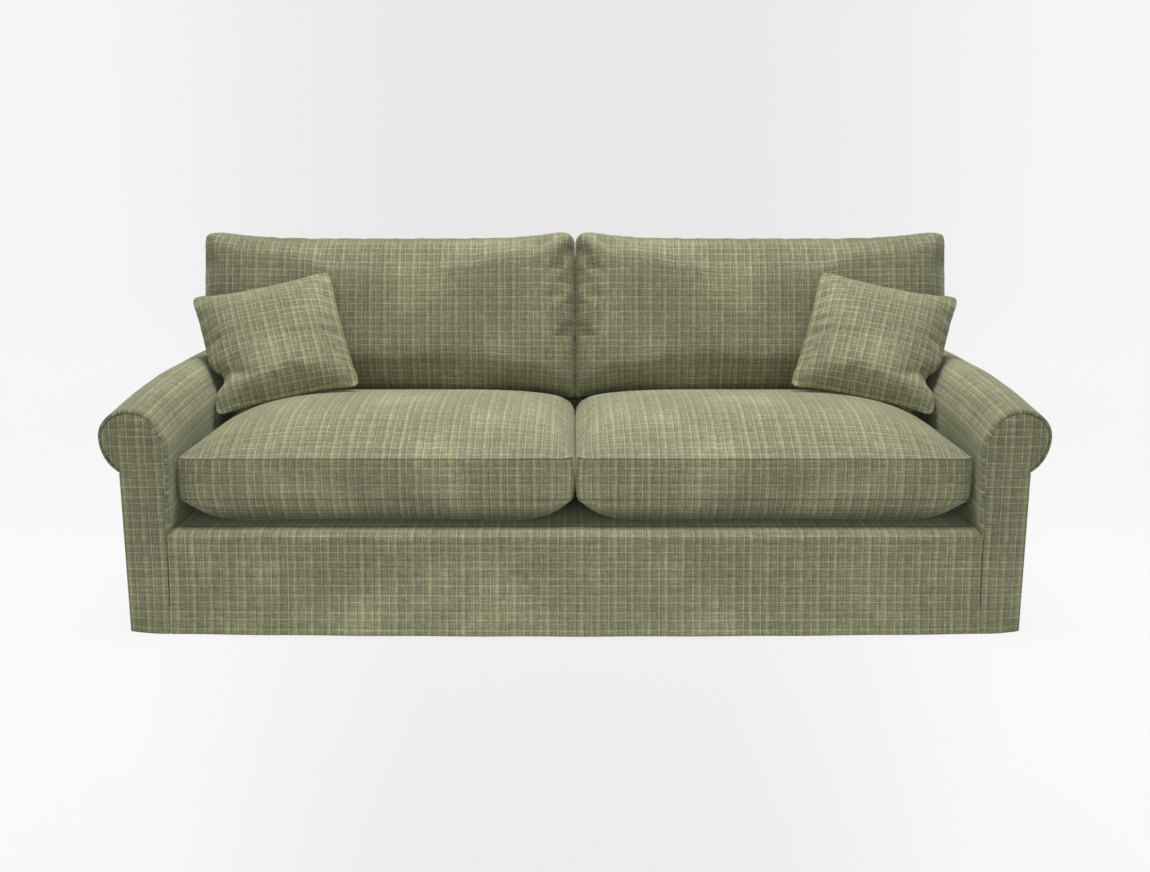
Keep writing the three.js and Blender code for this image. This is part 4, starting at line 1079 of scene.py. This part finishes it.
class SOFA_OT_scatter_cushions(bpy.types.Operator):
    """Makes the two scatter cushions"""

    bl_idname = "sofa.scatter_cushions"
    bl_label = "Scatter cushions"

    def execute(self, context):
        """Each face is a grid over a square whose sides are drawn in, with height times
        ((1 - |u|^2.4)(1 - |v|^2.4))^0.62, and creases where the arm pushes a side in."""
        settings = context.scene.sofa_cushions
        half = settings.scatter_side / 2
        t = edge_lines(-1.0, 1.0, 44, (0.0, 0.012, 0.03, 0.06, 0.10))
        u, v = np.meshgrid(t, t, indexing="ij")
        outer, inner = np.clip(u, 0, 1) ** 2, np.clip(-u, 0, 1) ** 2
        pinch = 0.034 * np.exp(-(((v + 0.46) / 0.17) ** 2))
        x = half * u - outer * (0.008 * (1 - v**2) + pinch) + inner * 0.006 * (1 - v**2)
        above, below = np.clip(v, 0, 1) ** 2, np.clip(-v, 0, 1) ** 2
        y = half * v - above * 0.012 * (1 - u**2) * (1 + 0.5 * u) + below * 0.014 * (1 - u**2)
        place = np.stack([u, v], axis=-1)
        square = [(sx * half, sy * half, sx, sy, CORNER_RADIUS) for sx in (-1, 1) for sy in (-1, 1)]
        outline = np.stack([x, y], axis=-1) + rounded(half * place, square) - half * place
        puff = ((1 - np.abs(u) ** 2.4) * (1 - np.abs(v) ** 2.4)) ** 0.62
        rim = np.maximum(np.abs(u), np.abs(v)) > 0.999
        z = (settings.scatter_thickness / 2 - 0.010) * puff + np.where(rim, 0, 0.0004) - creases(place) * puff
        # Painted shade along the rim seam where the two faces meet
        seam = np.where(rim, 0.9, 0.0)
        upper, lower = (np.concatenate([outline, sign * z[..., None]], axis=-1) for sign in (1, -1))
        uv = outline * 1.05
        patches = [patch(upper, uv, flip=True, seam=seam), patch(lower, uv + 0.013, seam=seam)]
        obj = piece("scatter_cushion_right", patches, [finish_named("cloth")])
        inflate(obj, upper[rim], SCATTER_CAP, excess=0.03, stiffness=8.0)
        limit = settings.scatter_thickness / 2
        points = coordinates(obj)
        points[:, 2] = np.clip(points[:, 2], -limit, limit)
        set_coordinates(obj, points)
        finish_pair(obj, "scatter_cushion", scatter_frame)
        return {"FINISHED"}


# Zips


def zip_piece(name, sizes, depth, middle, facing, to_world):
    """A closed zip in a cushion's own coordinates. The tape is a flat band with rounded long edges,
    the teeth are a row of small domes one pitch apart, and the slider is a domed plate at one end.
    Facing is 1 where it looks to the front and -1 where it is turned to the rear."""
    across, length, height, thickness = sizes
    turn = np.linspace(0, 2 * np.pi, 13)
    x = np.linspace(-length / 2, length / 2, 61)
    side = np.sign(np.cos(turn)) * np.abs(np.cos(turn)) ** 0.35
    face = np.sign(np.sin(turn)) * np.abs(np.sin(turn)) ** 0.6
    tape = grid_of(x[:, None], face[None] * thickness * 0.18, side[None] * height / 2)
    ends = [np.repeat(tape[i].mean(axis=0)[None, None], len(turn), axis=1) for i in (0, -1)]
    tape = np.concatenate([ends[0], tape, ends[1]])
    pitch = max(length / 260, 0.0015)
    tooth_x = np.arange(-length / 2 + 0.006, length / 2 - 0.012, pitch)
    a = np.linspace(0, 2 * np.pi, 7)
    rise = np.array([0.0, 0.75, 1.0])[:, None]
    spread = np.array([1.0, 0.85, 0.0])[:, None]
    dome = grid_of(
        spread * np.cos(a)[None] * pitch * 0.36, -rise * thickness * 0.3, spread * np.sin(a)[None] * height * 0.2
    )
    teeth = [dome + np.array([tx, -thickness * 0.15, 0.0]) for tx in tooth_x]
    wide = np.linspace(0, 2 * np.pi, 17)
    lift = np.linspace(0, np.pi / 2, 6)[:, None]
    slider = grid_of(
        np.cos(lift) * np.cos(wide)[None] * height * 0.75 + length / 2 - 0.008,
        -np.sin(lift) * thickness * 0.34 - thickness * 0.14 + 0 * wide[None],
        np.cos(lift) * np.sin(wide)[None] * height * 0.42,
    )
    grids = [tape, *teeth, slider]
    patches = [patch(grid, grid[..., [0, 2]] + (across, middle), flip=i > 0) for i, grid in enumerate(grids)]
    obj = piece(name, patches, [finish_named("tape"), finish_named("steel")], 1e-6)
    turned = coordinates(obj) * np.array([facing, facing, 1.0])
    set_coordinates(obj, to_world(turned + np.array([across, depth, middle])))
    return obj


class SOFA_OT_zips(bpy.types.Operator):
    """Makes the zips of the six cushion covers"""

    bl_idname = "sofa.zips"
    bl_label = "Zips"

    def execute(self, context):
        settings = context.scene.sofa_cushions
        seat_middle = (settings.seat_seam_low + settings.seat_seam_high) / 2
        for stem, *place in (
            ("seat_cushion", SEAT_ZIP, 0.3383, seat_middle, -1.0, seat_frame),
            ("back_cushion", BACK_ZIP, -0.0010, settings.back_band / 2, 1.0, back_frame),
            ("scatter_cushion", SCATTER_ZIP, -0.1830, 0.0, 1.0, scatter_frame),
        ):
            obj = zip_piece(f"{stem}_closure_right", *place)
            for side, made in both_sides(obj, f"{stem}_closure_left"):
                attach(made, f"{stem}_{side}")
                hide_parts(f"{stem}_zip_{side}")
        return {"FINISHED"}


# Arms


def roll_points(angles, reach):
    """Points of the roll's outline at angles above the level: an ellipse with its own reach to a side."""
    return np.stack([ROLL_MIDDLE + reach * np.cos(angles), ROLL_CENTRE + ROLL_HEIGHT * np.sin(angles)], axis=1)


def under_points(below):
    """Points of the curve under the roll at depths below its centre: an arc, narrowed so that it ends
    on the outside panel."""
    last = math.sqrt(UNDER_RADIUS**2 - UNDER_DROP**2)
    scale = (ROLL_MIDDLE + OUTER_REACH - ARM_WIDTH) / (UNDER_RADIUS - last)
    out = ARM_WIDTH + scale * (np.sqrt(UNDER_RADIUS**2 - below**2) - last)
    return np.stack([out, ROLL_CENTRE - below], axis=1)


def arm_section():
    """The arm's section from the deck up the inside face, over the roll and down to the seam under it,
    as distances out from the inside face and heights. The roll is two quarter ellipses, the hollow
    inside it a cubic, and the curve under it an arc drawn in to the outside panel."""
    z = np.linspace(DECK_TOP + FIT, NECK_FOOT, 14)
    face = np.stack([ARM_SPREAD * (NECK_FOOT - z) / (NECK_FOOT - DECK_TOP), z], axis=1)
    start = math.asin((NECK_TOP - ROLL_CENTRE) / ROLL_HEIGHT)
    neck_out = ROLL_MIDDLE - INNER_REACH * math.cos(start)
    t = np.linspace(0, 1, 9)[1:]
    neck = np.stack([neck_out * t**3, NECK_FOOT + (NECK_TOP - NECK_FOOT) * t], axis=1)
    inner = roll_points(np.linspace(start, math.pi / 2, 18)[1:], -INNER_REACH)
    outer = roll_points(np.linspace(math.pi / 2, 0, 18)[1:], OUTER_REACH)
    below = UNDER_RADIUS * np.sin(np.linspace(0, math.asin(UNDER_DROP / UNDER_RADIUS), 14)[1:])
    return np.concatenate([face, neck, inner, outer, under_points(below)])


def inset_line(line, distance):
    """An open line moved to its right, square to itself."""
    tangent = np.gradient(line, axis=0)
    tangent /= np.linalg.norm(tangent, axis=1, keepdims=True)
    return line + np.stack([tangent[:, 1], -tangent[:, 0]], axis=1) * np.reshape(distance, (-1, 1))


def arm_rise(y):
    """How much higher the arm is than at its front: a parabola that levels out after its run."""
    share = np.clip((y - (Y_FRONT + CLOTH + FIT)) / RISE_RUN, 0, 1)
    return ARM_RISE * (1 - (1 - share) ** 2)


def arm_lift(z):
    """Share of the rise at a height of the arm's section: none on the deck, all from the roll up."""
    return np.clip((z - DECK_TOP) / (ROLL_CENTRE - UNDER_DROP - DECK_TOP), 0, 1)


def hem_swing(x, z):
    """How far the hem swings forward, most in the middle of the sofa and nothing at its corners."""
    down = np.clip(1 - (z - HEM) / (DECK_TOP - LIP_RADIUS - HEM), 0, 1)
    out = np.abs(x)
    inner = HEM_SWING + MIDDLE_SWING * (1 - (out / SKIRT_SEAM) ** 2)
    outer = HEM_SWING * (1 - ((out - SKIRT_SEAM) / (BODY_HALF - SKIRT_SEAM)) ** 2)
    return np.where(out < SKIRT_SEAM, inner, np.maximum(outer, 0)) * down**2


def hem_shade(z):
    """Painted shade along the stitched hem, which fades out 4 mm above its edge."""
    return 0.6 * np.clip(1 - (z - HEM) / 0.004, 0, 1)


def distance_to_line(points, line):
    """Least distance from each point to a line of straight pieces."""
    a, b = line[:-1], line[1:]
    along = b - a
    t = np.einsum("...ij,ij->...i", points[..., None, :] - a, along) / np.maximum((along**2).sum(axis=1), 1e-12)
    nearest = a + np.clip(t, 0, 1)[..., None] * along
    return np.linalg.norm(points[..., None, :] - nearest, axis=-1).min(axis=-1)


def welt_strength(section):
    """Share of the groove beside the front edge along the arm's section: all of it round the outer
    side of the roll, and fading to a quarter down the inside face."""
    x, z = section[:, 0], section[:, 1]
    return np.where(x < ROLL_MIDDLE, np.clip((z - ROLL_CENTRE + 0.005) / 0.04, 0.25, 1), 1.0)


class SOFA_OT_arms(bpy.types.Operator):
    """Makes the covers of the two rolled arms: over the roll, the end facing and the outside panel"""

    bl_idname = "sofa.arms"
    bl_label = "Arms"

    def execute(self, context):
        cloth = finish_named("cloth")
        for obj, node, held, width, length in (
            (self.over(cloth), "arm_cover", "stretched", 0.64, 0.99),
            (self.end(cloth), "arm_facing", "stretched", 0.17, 0.56),
            (self.outside(cloth), "outside_arm_cover", "hung", 0.99, 0.45),
        ):
            for side, made in both_sides(obj, obj.name.replace("right", "left")):
                pad = [f"arm_pad_{side}"] if node == "arm_cover" else []
                cover(made, held, width, length, f"{node}_{side}", *pad)
        return {"FINISHED"}

    def over(self, cloth):
        """The cover over the arm: the section carried from front to rear. At the front its edge goes
        round a quarter circle of the welt's radius, from a groove in the front face."""
        section = arm_section()
        length = running_length(section[None], 1)[0]
        deep = welt_strength(section)
        angles = np.linspace(0, math.pi / 2, 7)
        insets = np.concatenate([[WELT + 0.0008, WELT + 0.0002], WELT * (1 - np.sin(angles[1:]))])
        depths = np.concatenate([[0.0045, 0.0014], WELT * (1 - np.cos(angles[1:]))])
        rest = np.concatenate([[WELT + 0.006, WELT + 0.014], np.linspace(WELT + 0.03, COVER_REAR - Y_FRONT, 42)])
        rows = [inset_line(section, d) for d in insets] + [section] * len(rest)
        grid = np.stack(rows)
        ys = Y_FRONT + np.concatenate([depths, rest])
        y = np.broadcast_to(ys[:, None], grid.shape[:2]).copy()
        y[0] = Y_FRONT + 0.001 + STITCH_DEPTH * deep
        rise = arm_rise(ys)[:, None] * arm_lift(grid[..., 1])
        points = grid_of(ARM_INNER + grid[..., 0], y, grid[..., 1] + rise)
        # Painted shade in the welt's groove beside the front edge
        seam = np.zeros(grid.shape[:2])
        seam[0], seam[1] = deep, 0.6 * deep
        along = np.concatenate([ys[:1] - 0.006, ys[1:]])
        uv = grid_of(length[None], along[:, None])
        obj = piece("arm_roll_right", [patch(points, uv, seam=seam)], [cloth])
        roughen(obj, 0.28, 0.0009, 11)
        return obj

    def end(self, cloth):
        """The facing on the arm's front: rows across the arm's outline, puffed by
        p (1 - exp(-d / 20 mm)) and drawn in along its seam, where d is the distance to its edge."""
        edge = inset_line(arm_section(), WELT)
        top = int(np.argmax(edge[:, 1]))
        crest, neck = edge[top, 1], 0.45
        inner_line, outer_line = edge[: top + 1], edge[top:][::-1]
        skirt_x, panel_x, foot = SKIRT_SEAM - ARM_INNER, ARM_WIDTH - 0.002, HEM - 0.05
        corner, corner_foot = DECK_TOP - 0.015, DECK_TOP - 0.023
        zs = np.concatenate([
            HEM_ROWS,
            np.linspace(0.012, DECK_TOP - 0.026, 22),
            np.linspace(corner_foot, corner, 5),
            np.linspace(DECK_TOP - 0.008, neck, 17)[:-1],
            np.linspace(neck, crest - 0.012, 22)[:-1],
            crest - np.array([0.012, 0.009, 0.006, 0.004, 0.0022, 0.001, 0.0002]),
        ])
        inner_x = np.interp(zs, inner_line[:, 1], inner_line[:, 0])
        outer_x = np.interp(zs, outer_line[:, 1], outer_line[:, 0], left=panel_x)
        turn = np.clip((corner - zs) / (corner - corner_foot), 0, 1)
        inner_x = (1 - turn) * inner_x + turn * skirt_x
        near = np.array([0.0, 0.0009, 0.0019, 0.0035, 0.007])
        width = (outer_x - inner_x)[:, None]
        steps = np.minimum(near, 0.11 * width)
        across = np.linspace(0, 1, 11)[None, 1:-1] * (width - 2 * steps[:, -1:]) + steps[:, -1:]
        x = inner_x[:, None] + np.concatenate([steps, across, width - steps[:, ::-1]], axis=1)
        z = np.broadcast_to(zs[:, None], x.shape)
        lower = [(skirt_x, foot), (skirt_x, corner_foot)]
        seam_line = np.concatenate([lower, inner_line, outer_line[::-1], [(panel_x, foot)]])
        away = distance_to_line(np.stack([x, z], axis=-1), seam_line)
        on_roll = np.clip((z - 0.40) / 0.03, 0, 1) * np.clip((x - 0.05) / 0.03, 0.25, 1)
        on_roll = np.maximum(on_roll, np.where((z < DECK_TOP) & (x < 0.06), 0.8, 0.0))
        drawn = 0.004 * np.exp(-((away / 0.0012) ** 2)) * (0.3 + 0.7 * on_roll)
        puff = 0.0022 * (1 - np.exp(-away / 0.02)) * np.clip((z - HEM) / 0.1, 0, 1)
        y = Y_FRONT - hem_swing(ARM_INNER + x, z) - puff + drawn
        # Painted shade along the drawn-in seam and at the hem
        seam = np.maximum(np.exp(-((away / 0.0015) ** 2)) * on_roll, hem_shade(z))
        points = grid_of(ARM_INNER + x, y, z)
        return piece("arm_end_right", [patch(points, grid_of(ARM_INNER + x, z), seam=seam)], [cloth])

    def outside(self, cloth):
        """The outside panel: a flat sheet whose front edge goes round to meet the facing and whose top
        rises with the arm."""
        top = ROLL_CENTRE - UNDER_DROP - FIT
        zs = np.concatenate([HEM_ROWS, np.linspace(HEM + 0.012, top, 24)])
        angles = np.linspace(0, math.pi / 2, 7)
        radius, tuck = 0.002, 0.0006
        rest = np.linspace(0.012, COVER_REAR - Y_FRONT, 34)
        ys = Y_FRONT + np.concatenate([[STITCH_DEPTH], radius * (1 - np.cos(angles)), rest])
        inset = np.concatenate([[radius + tuck], radius * (1 - np.sin(angles)), np.zeros(len(rest))])
        share = ((zs - HEM) / (top - HEM))[:, None]
        z = HEM + share * (top + arm_rise(ys)[None] - HEM)
        points = grid_of(BODY_HALF - inset[None], ys[None], z)
        # Painted shade at the seam under the roll and at the hem
        seam = np.maximum(hem_shade(z), np.exp(-(((z - z[-1:]) / 0.0015) ** 2)) * 0.5)
        uv = grid_of(ys[None] + OUTSIDE_CHECK_START, z)
        return piece("arm_outside_right", [patch(points, uv, seam=seam)], [cloth])


# Seat front, deck and back


class SOFA_OT_seat_front(bpy.types.Operator):
    """Makes the front skirt and the cover of the seat deck"""

    bl_idname = "sofa.seat_front"
    bl_label = "Seat front"

    def execute(self, context):
        """The skirt's profile is straight, then a quarter circle over the lip, then flat on the deck;
        it is carried across the sofa and swings forward at its hem, with ripples of 1.2 mm."""
        cloth = finish_named("cloth")
        angles = np.radians(np.linspace(0, 90, 11))[1:]
        foot = np.concatenate([HEM_ROWS, np.linspace(HEM + 0.012, DECK_TOP - LIP_RADIUS, 26)])
        inwards = [np.zeros(len(foot)), LIP_RADIUS * (1 - np.cos(angles)), [0.035, 0.048, 0.060]]
        y = Y_FRONT + np.concatenate(inwards)
        z = np.concatenate([foot, DECK_TOP - LIP_RADIUS * (1 - np.sin(angles)), np.full(3, DECK_TOP)])
        xs = edge_lines(FIT - SKIRT_SEAM, SKIRT_SEAM - FIT, 120, (0.0, 0.0009, 0.002, 0.004, 0.010))
        length = running_length(np.stack([y, z], axis=1)[None], 1)[0] + HEM
        edge = SKIRT_SEAM - FIT - np.abs(xs)[None]
        groove = np.exp(-((edge / 0.0012) ** 2)) * (z < DECK_TOP - 0.004)[:, None]
        swing = hem_swing(xs[None], z[:, None])
        ripple = RIPPLE_HEIGHT * np.sin(xs[None] * RIPPLES + 1.0) * np.clip(1 - z[:, None] / DECK_TOP, 0, 1)
        points = grid_of(xs[None], y[:, None] - swing + STITCH_DEPTH * groove - ripple * (edge > 0.01), z[:, None])
        # Painted shade in the grooves at the skirt's ends and along the hem
        seam = np.maximum(groove * 0.8, hem_shade(z[:, None]))
        skirt = piece("front_skirt_cloth", [patch(points, grid_of(xs[None], length[:, None]), seam=seam)], [cloth])
        cover(skirt, "hung", 2.0, 0.33, "front_skirt", "front_border_pad")

        low, high = box_of("platform_cover")
        xs, ys = np.linspace(low[0], high[0], 90), np.linspace(low[1], high[1], 40)
        points = grid_of(xs[:, None], ys[None], high[2])
        uv = points[..., :2] + (0.0, DECK_CHECK_START)
        obj = piece("deck_cloth", [patch(points, uv, flip=True)], [cloth])
        cover(obj, "stretched", 1.99, 0.765, "platform_cover", "deck_pad")
        return {"FINISHED"}


class SOFA_OT_back(bpy.types.Operator):
    """Makes the covers of the inside and the outside of the back"""

    bl_idname = "sofa.back"
    bl_label = "Back"

    def execute(self, context):
        cloth = finish_named("cloth")
        cover(self.inside(cloth), "stretched", 2.9, 0.92, "inside_back_cover", "inside_back_pad")
        cover(self.outside(cloth), "hung", 2.3, 0.865, "outside_back_cover")
        return {"FINISHED"}

    def inside(self, cloth):
        """The inside back and its wings: rings that run up one side, round a corner arc, across the
        front and back down the other side. A ring's front leans with its height; the last ones go
        in round the top edge, and a flat cap closes them. The wings' feet follow the arms' rolls."""
        radius, side_radius = 0.016, 0.005
        lowest_foot, rear_legs = 0.545, 0.42
        tucked = np.array([0.9840, 0.9975, 1.02, 1.045, 1.066])
        front_x = np.concatenate([[-BETWEEN_ARMS], np.linspace(-0.95, 0.95, 66), [BETWEEN_ARMS]])
        half = BODY_HALF - radius
        wide_x = np.concatenate([[-half], -tucked[::-1], front_x, tucked, [half]])
        legs = np.linspace(0, 1, 9)
        arcs = np.linspace(0, math.pi / 2, 7)[1:-1]

        def ring(inset, z):
            front, wide = inside_back(z), BODY_HALF - inset * side_radius / radius
            back_y = front + radius + legs * (COVER_REAR - front - radius)
            left = np.stack([np.full(len(legs), -wide), back_y[::-1]], axis=1)
            corner_y = front + radius - (radius - inset) * np.sin(arcs)
            corner = np.stack([-half - (wide - half) * np.cos(arcs), corner_y], axis=1)
            along = np.stack([wide_x, np.full(len(wide_x), front + inset)], axis=1)
            other = np.concatenate([left, corner])[::-1] * np.array([-1.0, 1.0])
            flat = np.concatenate([left, corner, along, other])
            return np.concatenate([flat, np.full((len(flat), 1), z)], axis=1)

        angles = np.linspace(0, math.pi / 2, 7)
        heights = np.linspace(BACK_TOP - radius, WING_FOOT, 22)[1:]
        rings = [ring(radius * (1 - math.sin(a)), BACK_TOP - radius * (1 - math.cos(a))) for a in angles]
        rings = np.stack(rings + [ring(0.0, z) for z in heights])
        out = np.abs(rings[-1, :, 0])
        from_middle = out - ARM_INNER - ROLL_MIDDLE
        share = np.clip(from_middle / np.where(from_middle < 0, INNER_REACH, OUTER_REACH), -1, 1)
        foot = ROLL_CENTRE + ARM_RISE + FIT + ROLL_HEIGHT * np.sqrt(1 - share**2)
        foot = np.where(out > BETWEEN_ARMS + 1e-5, np.maximum(foot, lowest_foot), WING_FOOT)
        leaning = rings[-1, :, 1] < rear_legs
        rings[-1, :, 1] += np.where(leaning, inside_back(foot) - inside_back(WING_FOOT), 0)
        rings[-1, :, 2] = foot
        down = running_length(rings, 0)
        across = running_length(rings[-2][None], 1)[0]
        uv = grid_of((across - across[-1] / 2)[None], BACK_TOP - down + 0.004)
        patches = [patch(rings[::-1], uv[::-1])]
        ends = BODY_HALF - side_radius
        corner_x = half + (ends - half) * np.cos(arcs)
        cap_x = np.concatenate([[-ends], -corner_x, wide_x, corner_x[::-1], [ends]])
        front = inside_back(BACK_TOP)
        cap_y = front + radius + legs * (COVER_REAR - front - radius)
        cap = grid_of(cap_x[None], cap_y[:, None], BACK_TOP)
        patches.append(patch(cap, cap[..., :2] + (0.0, BACK_TOP)))
        zs = np.linspace(DECK_TOP + FIT, WING_FOOT, 26)
        lower = grid_of(front_x[None], inside_back(zs)[:, None], zs[:, None])
        patches.append(patch(lower, lower[..., [0, 2]]))
        return piece("inside_back_cloth", patches, [cloth])

    def outside(self, cloth):
        """The outside back: rows across an outline that follows the arms' rolls, with its edge
        turned in by r (1 - sqrt(1 - (1 - d/r)^2)), where d is the distance to the edge."""
        shoulder = math.acos((ARM_WIDTH - ROLL_MIDDLE) / OUTER_REACH)
        under = under_points(UNDER_DROP * np.linspace(1, 0, 14)[:-1])
        side = np.concatenate([under, roll_points(np.linspace(0, shoulder, 14), OUTER_REACH)]) + (0.0, ARM_RISE)
        line = np.concatenate([[(ARM_WIDTH, HEM)], side, [(ARM_WIDTH, BACK_TOP)]]) + (ARM_INNER, 0)
        zs = np.concatenate([
            HEM_ROWS,
            np.linspace(0.02, side[0, 1], 24),
            side[:, 1],
            np.linspace(side[-1, 1], BACK_TOP - 0.006, 14),
            BACK_TOP - np.array([0.004, 0.002, 0.001, 0.0]),
        ])
        zs = np.unique(np.round(zs, 5))
        half = np.interp(zs, line[:, 1], line[:, 0])[:, None]
        near = np.array([0.0, 0.0008, 0.0018, 0.0032, 0.010])
        inner = near[-1] + (half - near[-1]) * np.linspace(0, 1, 46)[1:]
        left = np.concatenate([np.tile(near, (len(zs), 1)), inner], axis=1) - half
        x = np.concatenate([left, -left[:, :-1][:, ::-1]], axis=1)
        z = np.broadcast_to(zs[:, None], x.shape)
        away = distance_to_line(np.stack([x, z], axis=-1), np.concatenate([line, line[::-1] * (-1, 1)]))
        r = 0.0026
        turned = r * (1 - np.sqrt(1 - np.clip(1 - away / r, 0, 1) ** 2))
        patches = [patch(grid_of(x, Y_REAR - turned, z), grid_of(-x, z), flip=True, seam=hem_shade(z))]
        return piece("outside_back_cloth", patches, [cloth])


# Underside

FOOT_TAPER = 22 / 30


class SOFA_OT_feet(bpy.types.Operator):
    """Makes the six tapered feet"""

    bl_idname = "sofa.feet"
    bl_label = "Feet"

    def execute(self, context):
        """Each foot keeps its node's box and is a superellipse |x|^6 + |y|^6 = 1 that tapers to the
        floor, with a rounded lower edge."""
        for node in [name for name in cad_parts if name.startswith("foot_")]:
            low, high = box_of(node)
            centre, half = (low + high) / 2, (high - low)[0] / 2
            turn = np.linspace(0, 2 * np.pi, 49)
            ring = np.stack([np.cos(turn), np.sin(turn)], axis=1)
            ring = np.sign(ring) * np.abs(ring) ** (1 / 3)
            t = np.array([0.0, 0.0, 0.012, 0.03, 0.06, 0.2, 0.4, 0.6, 0.8, 0.97, 1.0, 1.0])
            size = half * (FOOT_TAPER + (1 - FOOT_TAPER) * t)
            size[:5] *= [0.0, 0.93, 0.975, 0.995, 1.0]
            size[-2:] *= [0.97, 0.0]
            z = low[2] + t * (high[2] - low[2])
            flat = centre[:2] + size[:, None, None] * ring
            grid = grid_of(flat[..., 0], flat[..., 1], z[:, None])
            obj = piece(f"{node}_finish", [patch(grid, grid[..., [0, 2]])], [finish_named("foot")])
            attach(obj, MAIN_BODY)
            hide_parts(node)
        return {"FINISHED"}


# Stage


class SOFA_OT_stage(bpy.types.Operator):
    """Makes the floor with its backdrop, the lamps and the camera"""

    bl_idname = "sofa.stage"
    bl_label = "Stage"

    def execute(self, context):
        settings = context.scene.sofa_stage
        camera = bpy.data.cameras.new("Camera")
        camera.sensor_width = 36.0
        camera.lens = settings.lens
        eye = bpy.data.objects.new("Camera", camera)
        eye.location = (0.0, Y_FRONT - settings.camera_distance, settings.camera_height)
        eye.rotation_euler = (math.pi / 2 - settings.camera_pitch, 0.0, 0.0)
        context.scene.collection.objects.link(eye)
        context.scene.camera = eye
        self.floor()
        self.lamps(context)
        context.scene.view_settings.view_transform = "Standard"
        return {"FINISHED"}

    def floor(self):
        """A floor that turns up into a backdrop through a quarter circle. Its tone grows paler to both
        sides, by the distance from the middle line over that from the camera. Where it is seen, most
        of that tone is its own, so that the lamps' pools don't show, and the rest keeps the shadow."""
        front, bend_start, radius, height, half = -14.0, 4.0, 3.0, 12.0, 16.0
        t = np.linspace(0, math.pi / 2, 24)
        y = np.concatenate([[front], bend_start + radius * np.sin(t), [bend_start + radius]])
        z = np.concatenate([[0.0], radius - radius * np.cos(t), [height]])
        xs = np.linspace(-half, half, 9)
        grid = grid_of(xs[None], y[:, None], z[:, None])
        material, w, shader = new_material("Floor and backdrop")
        tree = material.node_tree
        shader.inputs["Roughness"].default_value = 0.9
        across, back = w.parts(w.object_place())[:2]
        distance = w.math("MAXIMUM", w.math("ADD", back, 3.6), 2.0)
        fan = w.math("DIVIDE", w.math("ABSOLUTE", across), distance)
        own_share = 0.94
        tone = w.ramp(fan, [(0.0, 0.85), (0.12, 0.855), (0.21, 0.885), (0.35, 0.955), (0.45, 0.965)])
        tree.links.new(tone, shader.inputs["Base Color"])
        glow = tree.nodes.new("ShaderNodeEmission")
        tree.links.new(tone, glow.inputs["Color"])
        blend = tree.nodes.new("ShaderNodeMixShader")
        tree.links.new(w.math("MULTIPLY", w.seen(), own_share), blend.inputs[0])
        tree.links.new(shader.outputs[0], blend.inputs[1])
        tree.links.new(glow.outputs[0], blend.inputs[2])
        tree.links.new(blend.outputs[0], tree.nodes["Material Output"].inputs["Surface"])
        piece("floor", [patch(grid, grid[..., :2])], [material])

    def lamps(self, context):
        """A pale room, brighter where it is seen than where it lights, a lamp above and two wide ones
        in front and behind."""
        world = bpy.data.worlds.new("Room")
        context.scene.world = world
        world.use_nodes = True
        tree = world.node_tree
        soft, w = tree.nodes["Background"], Wiring(tree)
        soft.inputs["Color"].default_value = (1.0, 1.0, 1.0, 1.0)
        seen_extra, room_light = 0.78, 0.12
        tree.links.new(w.math("MULTIPLY_ADD", w.seen(), seen_extra, room_light), soft.inputs["Strength"])
        for name, place, aim, size, spread, power in (
            ("Top lamp", (0.0, -0.1, 4.4), (0.0, -0.1, 0.0), (3.0, 1.4), 60, 35.0),
            ("Front lamp", (0.0, -5.0, 1.3), (0.0, 0.0, 0.5), (5.0, 2.0), 180, 82.0),
            ("Rear lamp", (0.0, 5.0, 1.5), (0.0, 0.0, 0.4), (5.0, 2.0), 180, 60.0),
        ):
            lamp = bpy.data.lights.new(name, "AREA")
            lamp.shape = "RECTANGLE"
            lamp.size, lamp.size_y = size
            lamp.spread = math.radians(spread)
            lamp.energy = power
            holder = bpy.data.objects.new(name, lamp)
            holder.location = place
            holder.rotation_euler = (Vector(aim) - Vector(place)).to_track_quat("-Z", "Y").to_euler()
            holder.visible_camera = False
            context.scene.collection.objects.link(holder)


class SOFA_PT_panel(bpy.types.Panel):
    """Lists the steps that make the sofa"""

    bl_label = "Rolled-arm sofa"
    bl_idname = "SOFA_PT_panel"
    bl_space_type = "VIEW_3D"
    bl_region_type = "UI"
    bl_category = "Sofa"

    def draw(self, context):
        for step in STEPS:
            self.layout.operator(step.bl_idname)


STEPS = (
    SOFA_OT_finishes,
    SOFA_OT_seat_cushions,
    SOFA_OT_back_cushions,
    SOFA_OT_scatter_cushions,
    SOFA_OT_zips,
    SOFA_OT_arms,
    SOFA_OT_seat_front,
    SOFA_OT_back,
    SOFA_OT_feet,
    SOFA_OT_stage,
)
SETTINGS = (
    ("sofa_cloth", SofaClothSettings),
    ("sofa_cushions", SofaCushionSettings),
    ("sofa_stage", SofaStageSettings),
)


def register():
    for name, settings in SETTINGS:
        bpy.utils.register_class(settings)
        setattr(bpy.types.Scene, name, bpy.props.PointerProperty(type=settings))
    for step in STEPS:
        bpy.utils.register_class(step)
    bpy.utils.register_class(SOFA_PT_panel)


def unregister():
    bpy.utils.unregister_class(SOFA_PT_panel)
    for step in reversed(STEPS):
        bpy.utils.unregister_class(step)
    for name, settings in reversed(SETTINGS):
        delattr(bpy.types.Scene, name)
        bpy.utils.unregister_class(settings)


def main():
    register()
    bpy.ops.sofa.finishes()
    bpy.ops.sofa.seat_cushions()
    bpy.ops.sofa.back_cushions()
    bpy.ops.sofa.scatter_cushions()
    bpy.ops.sofa.zips()
    bpy.ops.sofa.arms()
    bpy.ops.sofa.seat_front()
    bpy.ops.sofa.back()
    bpy.ops.sofa.feet()
    bpy.ops.sofa.stage()


if __name__ == "__main__":
    main()
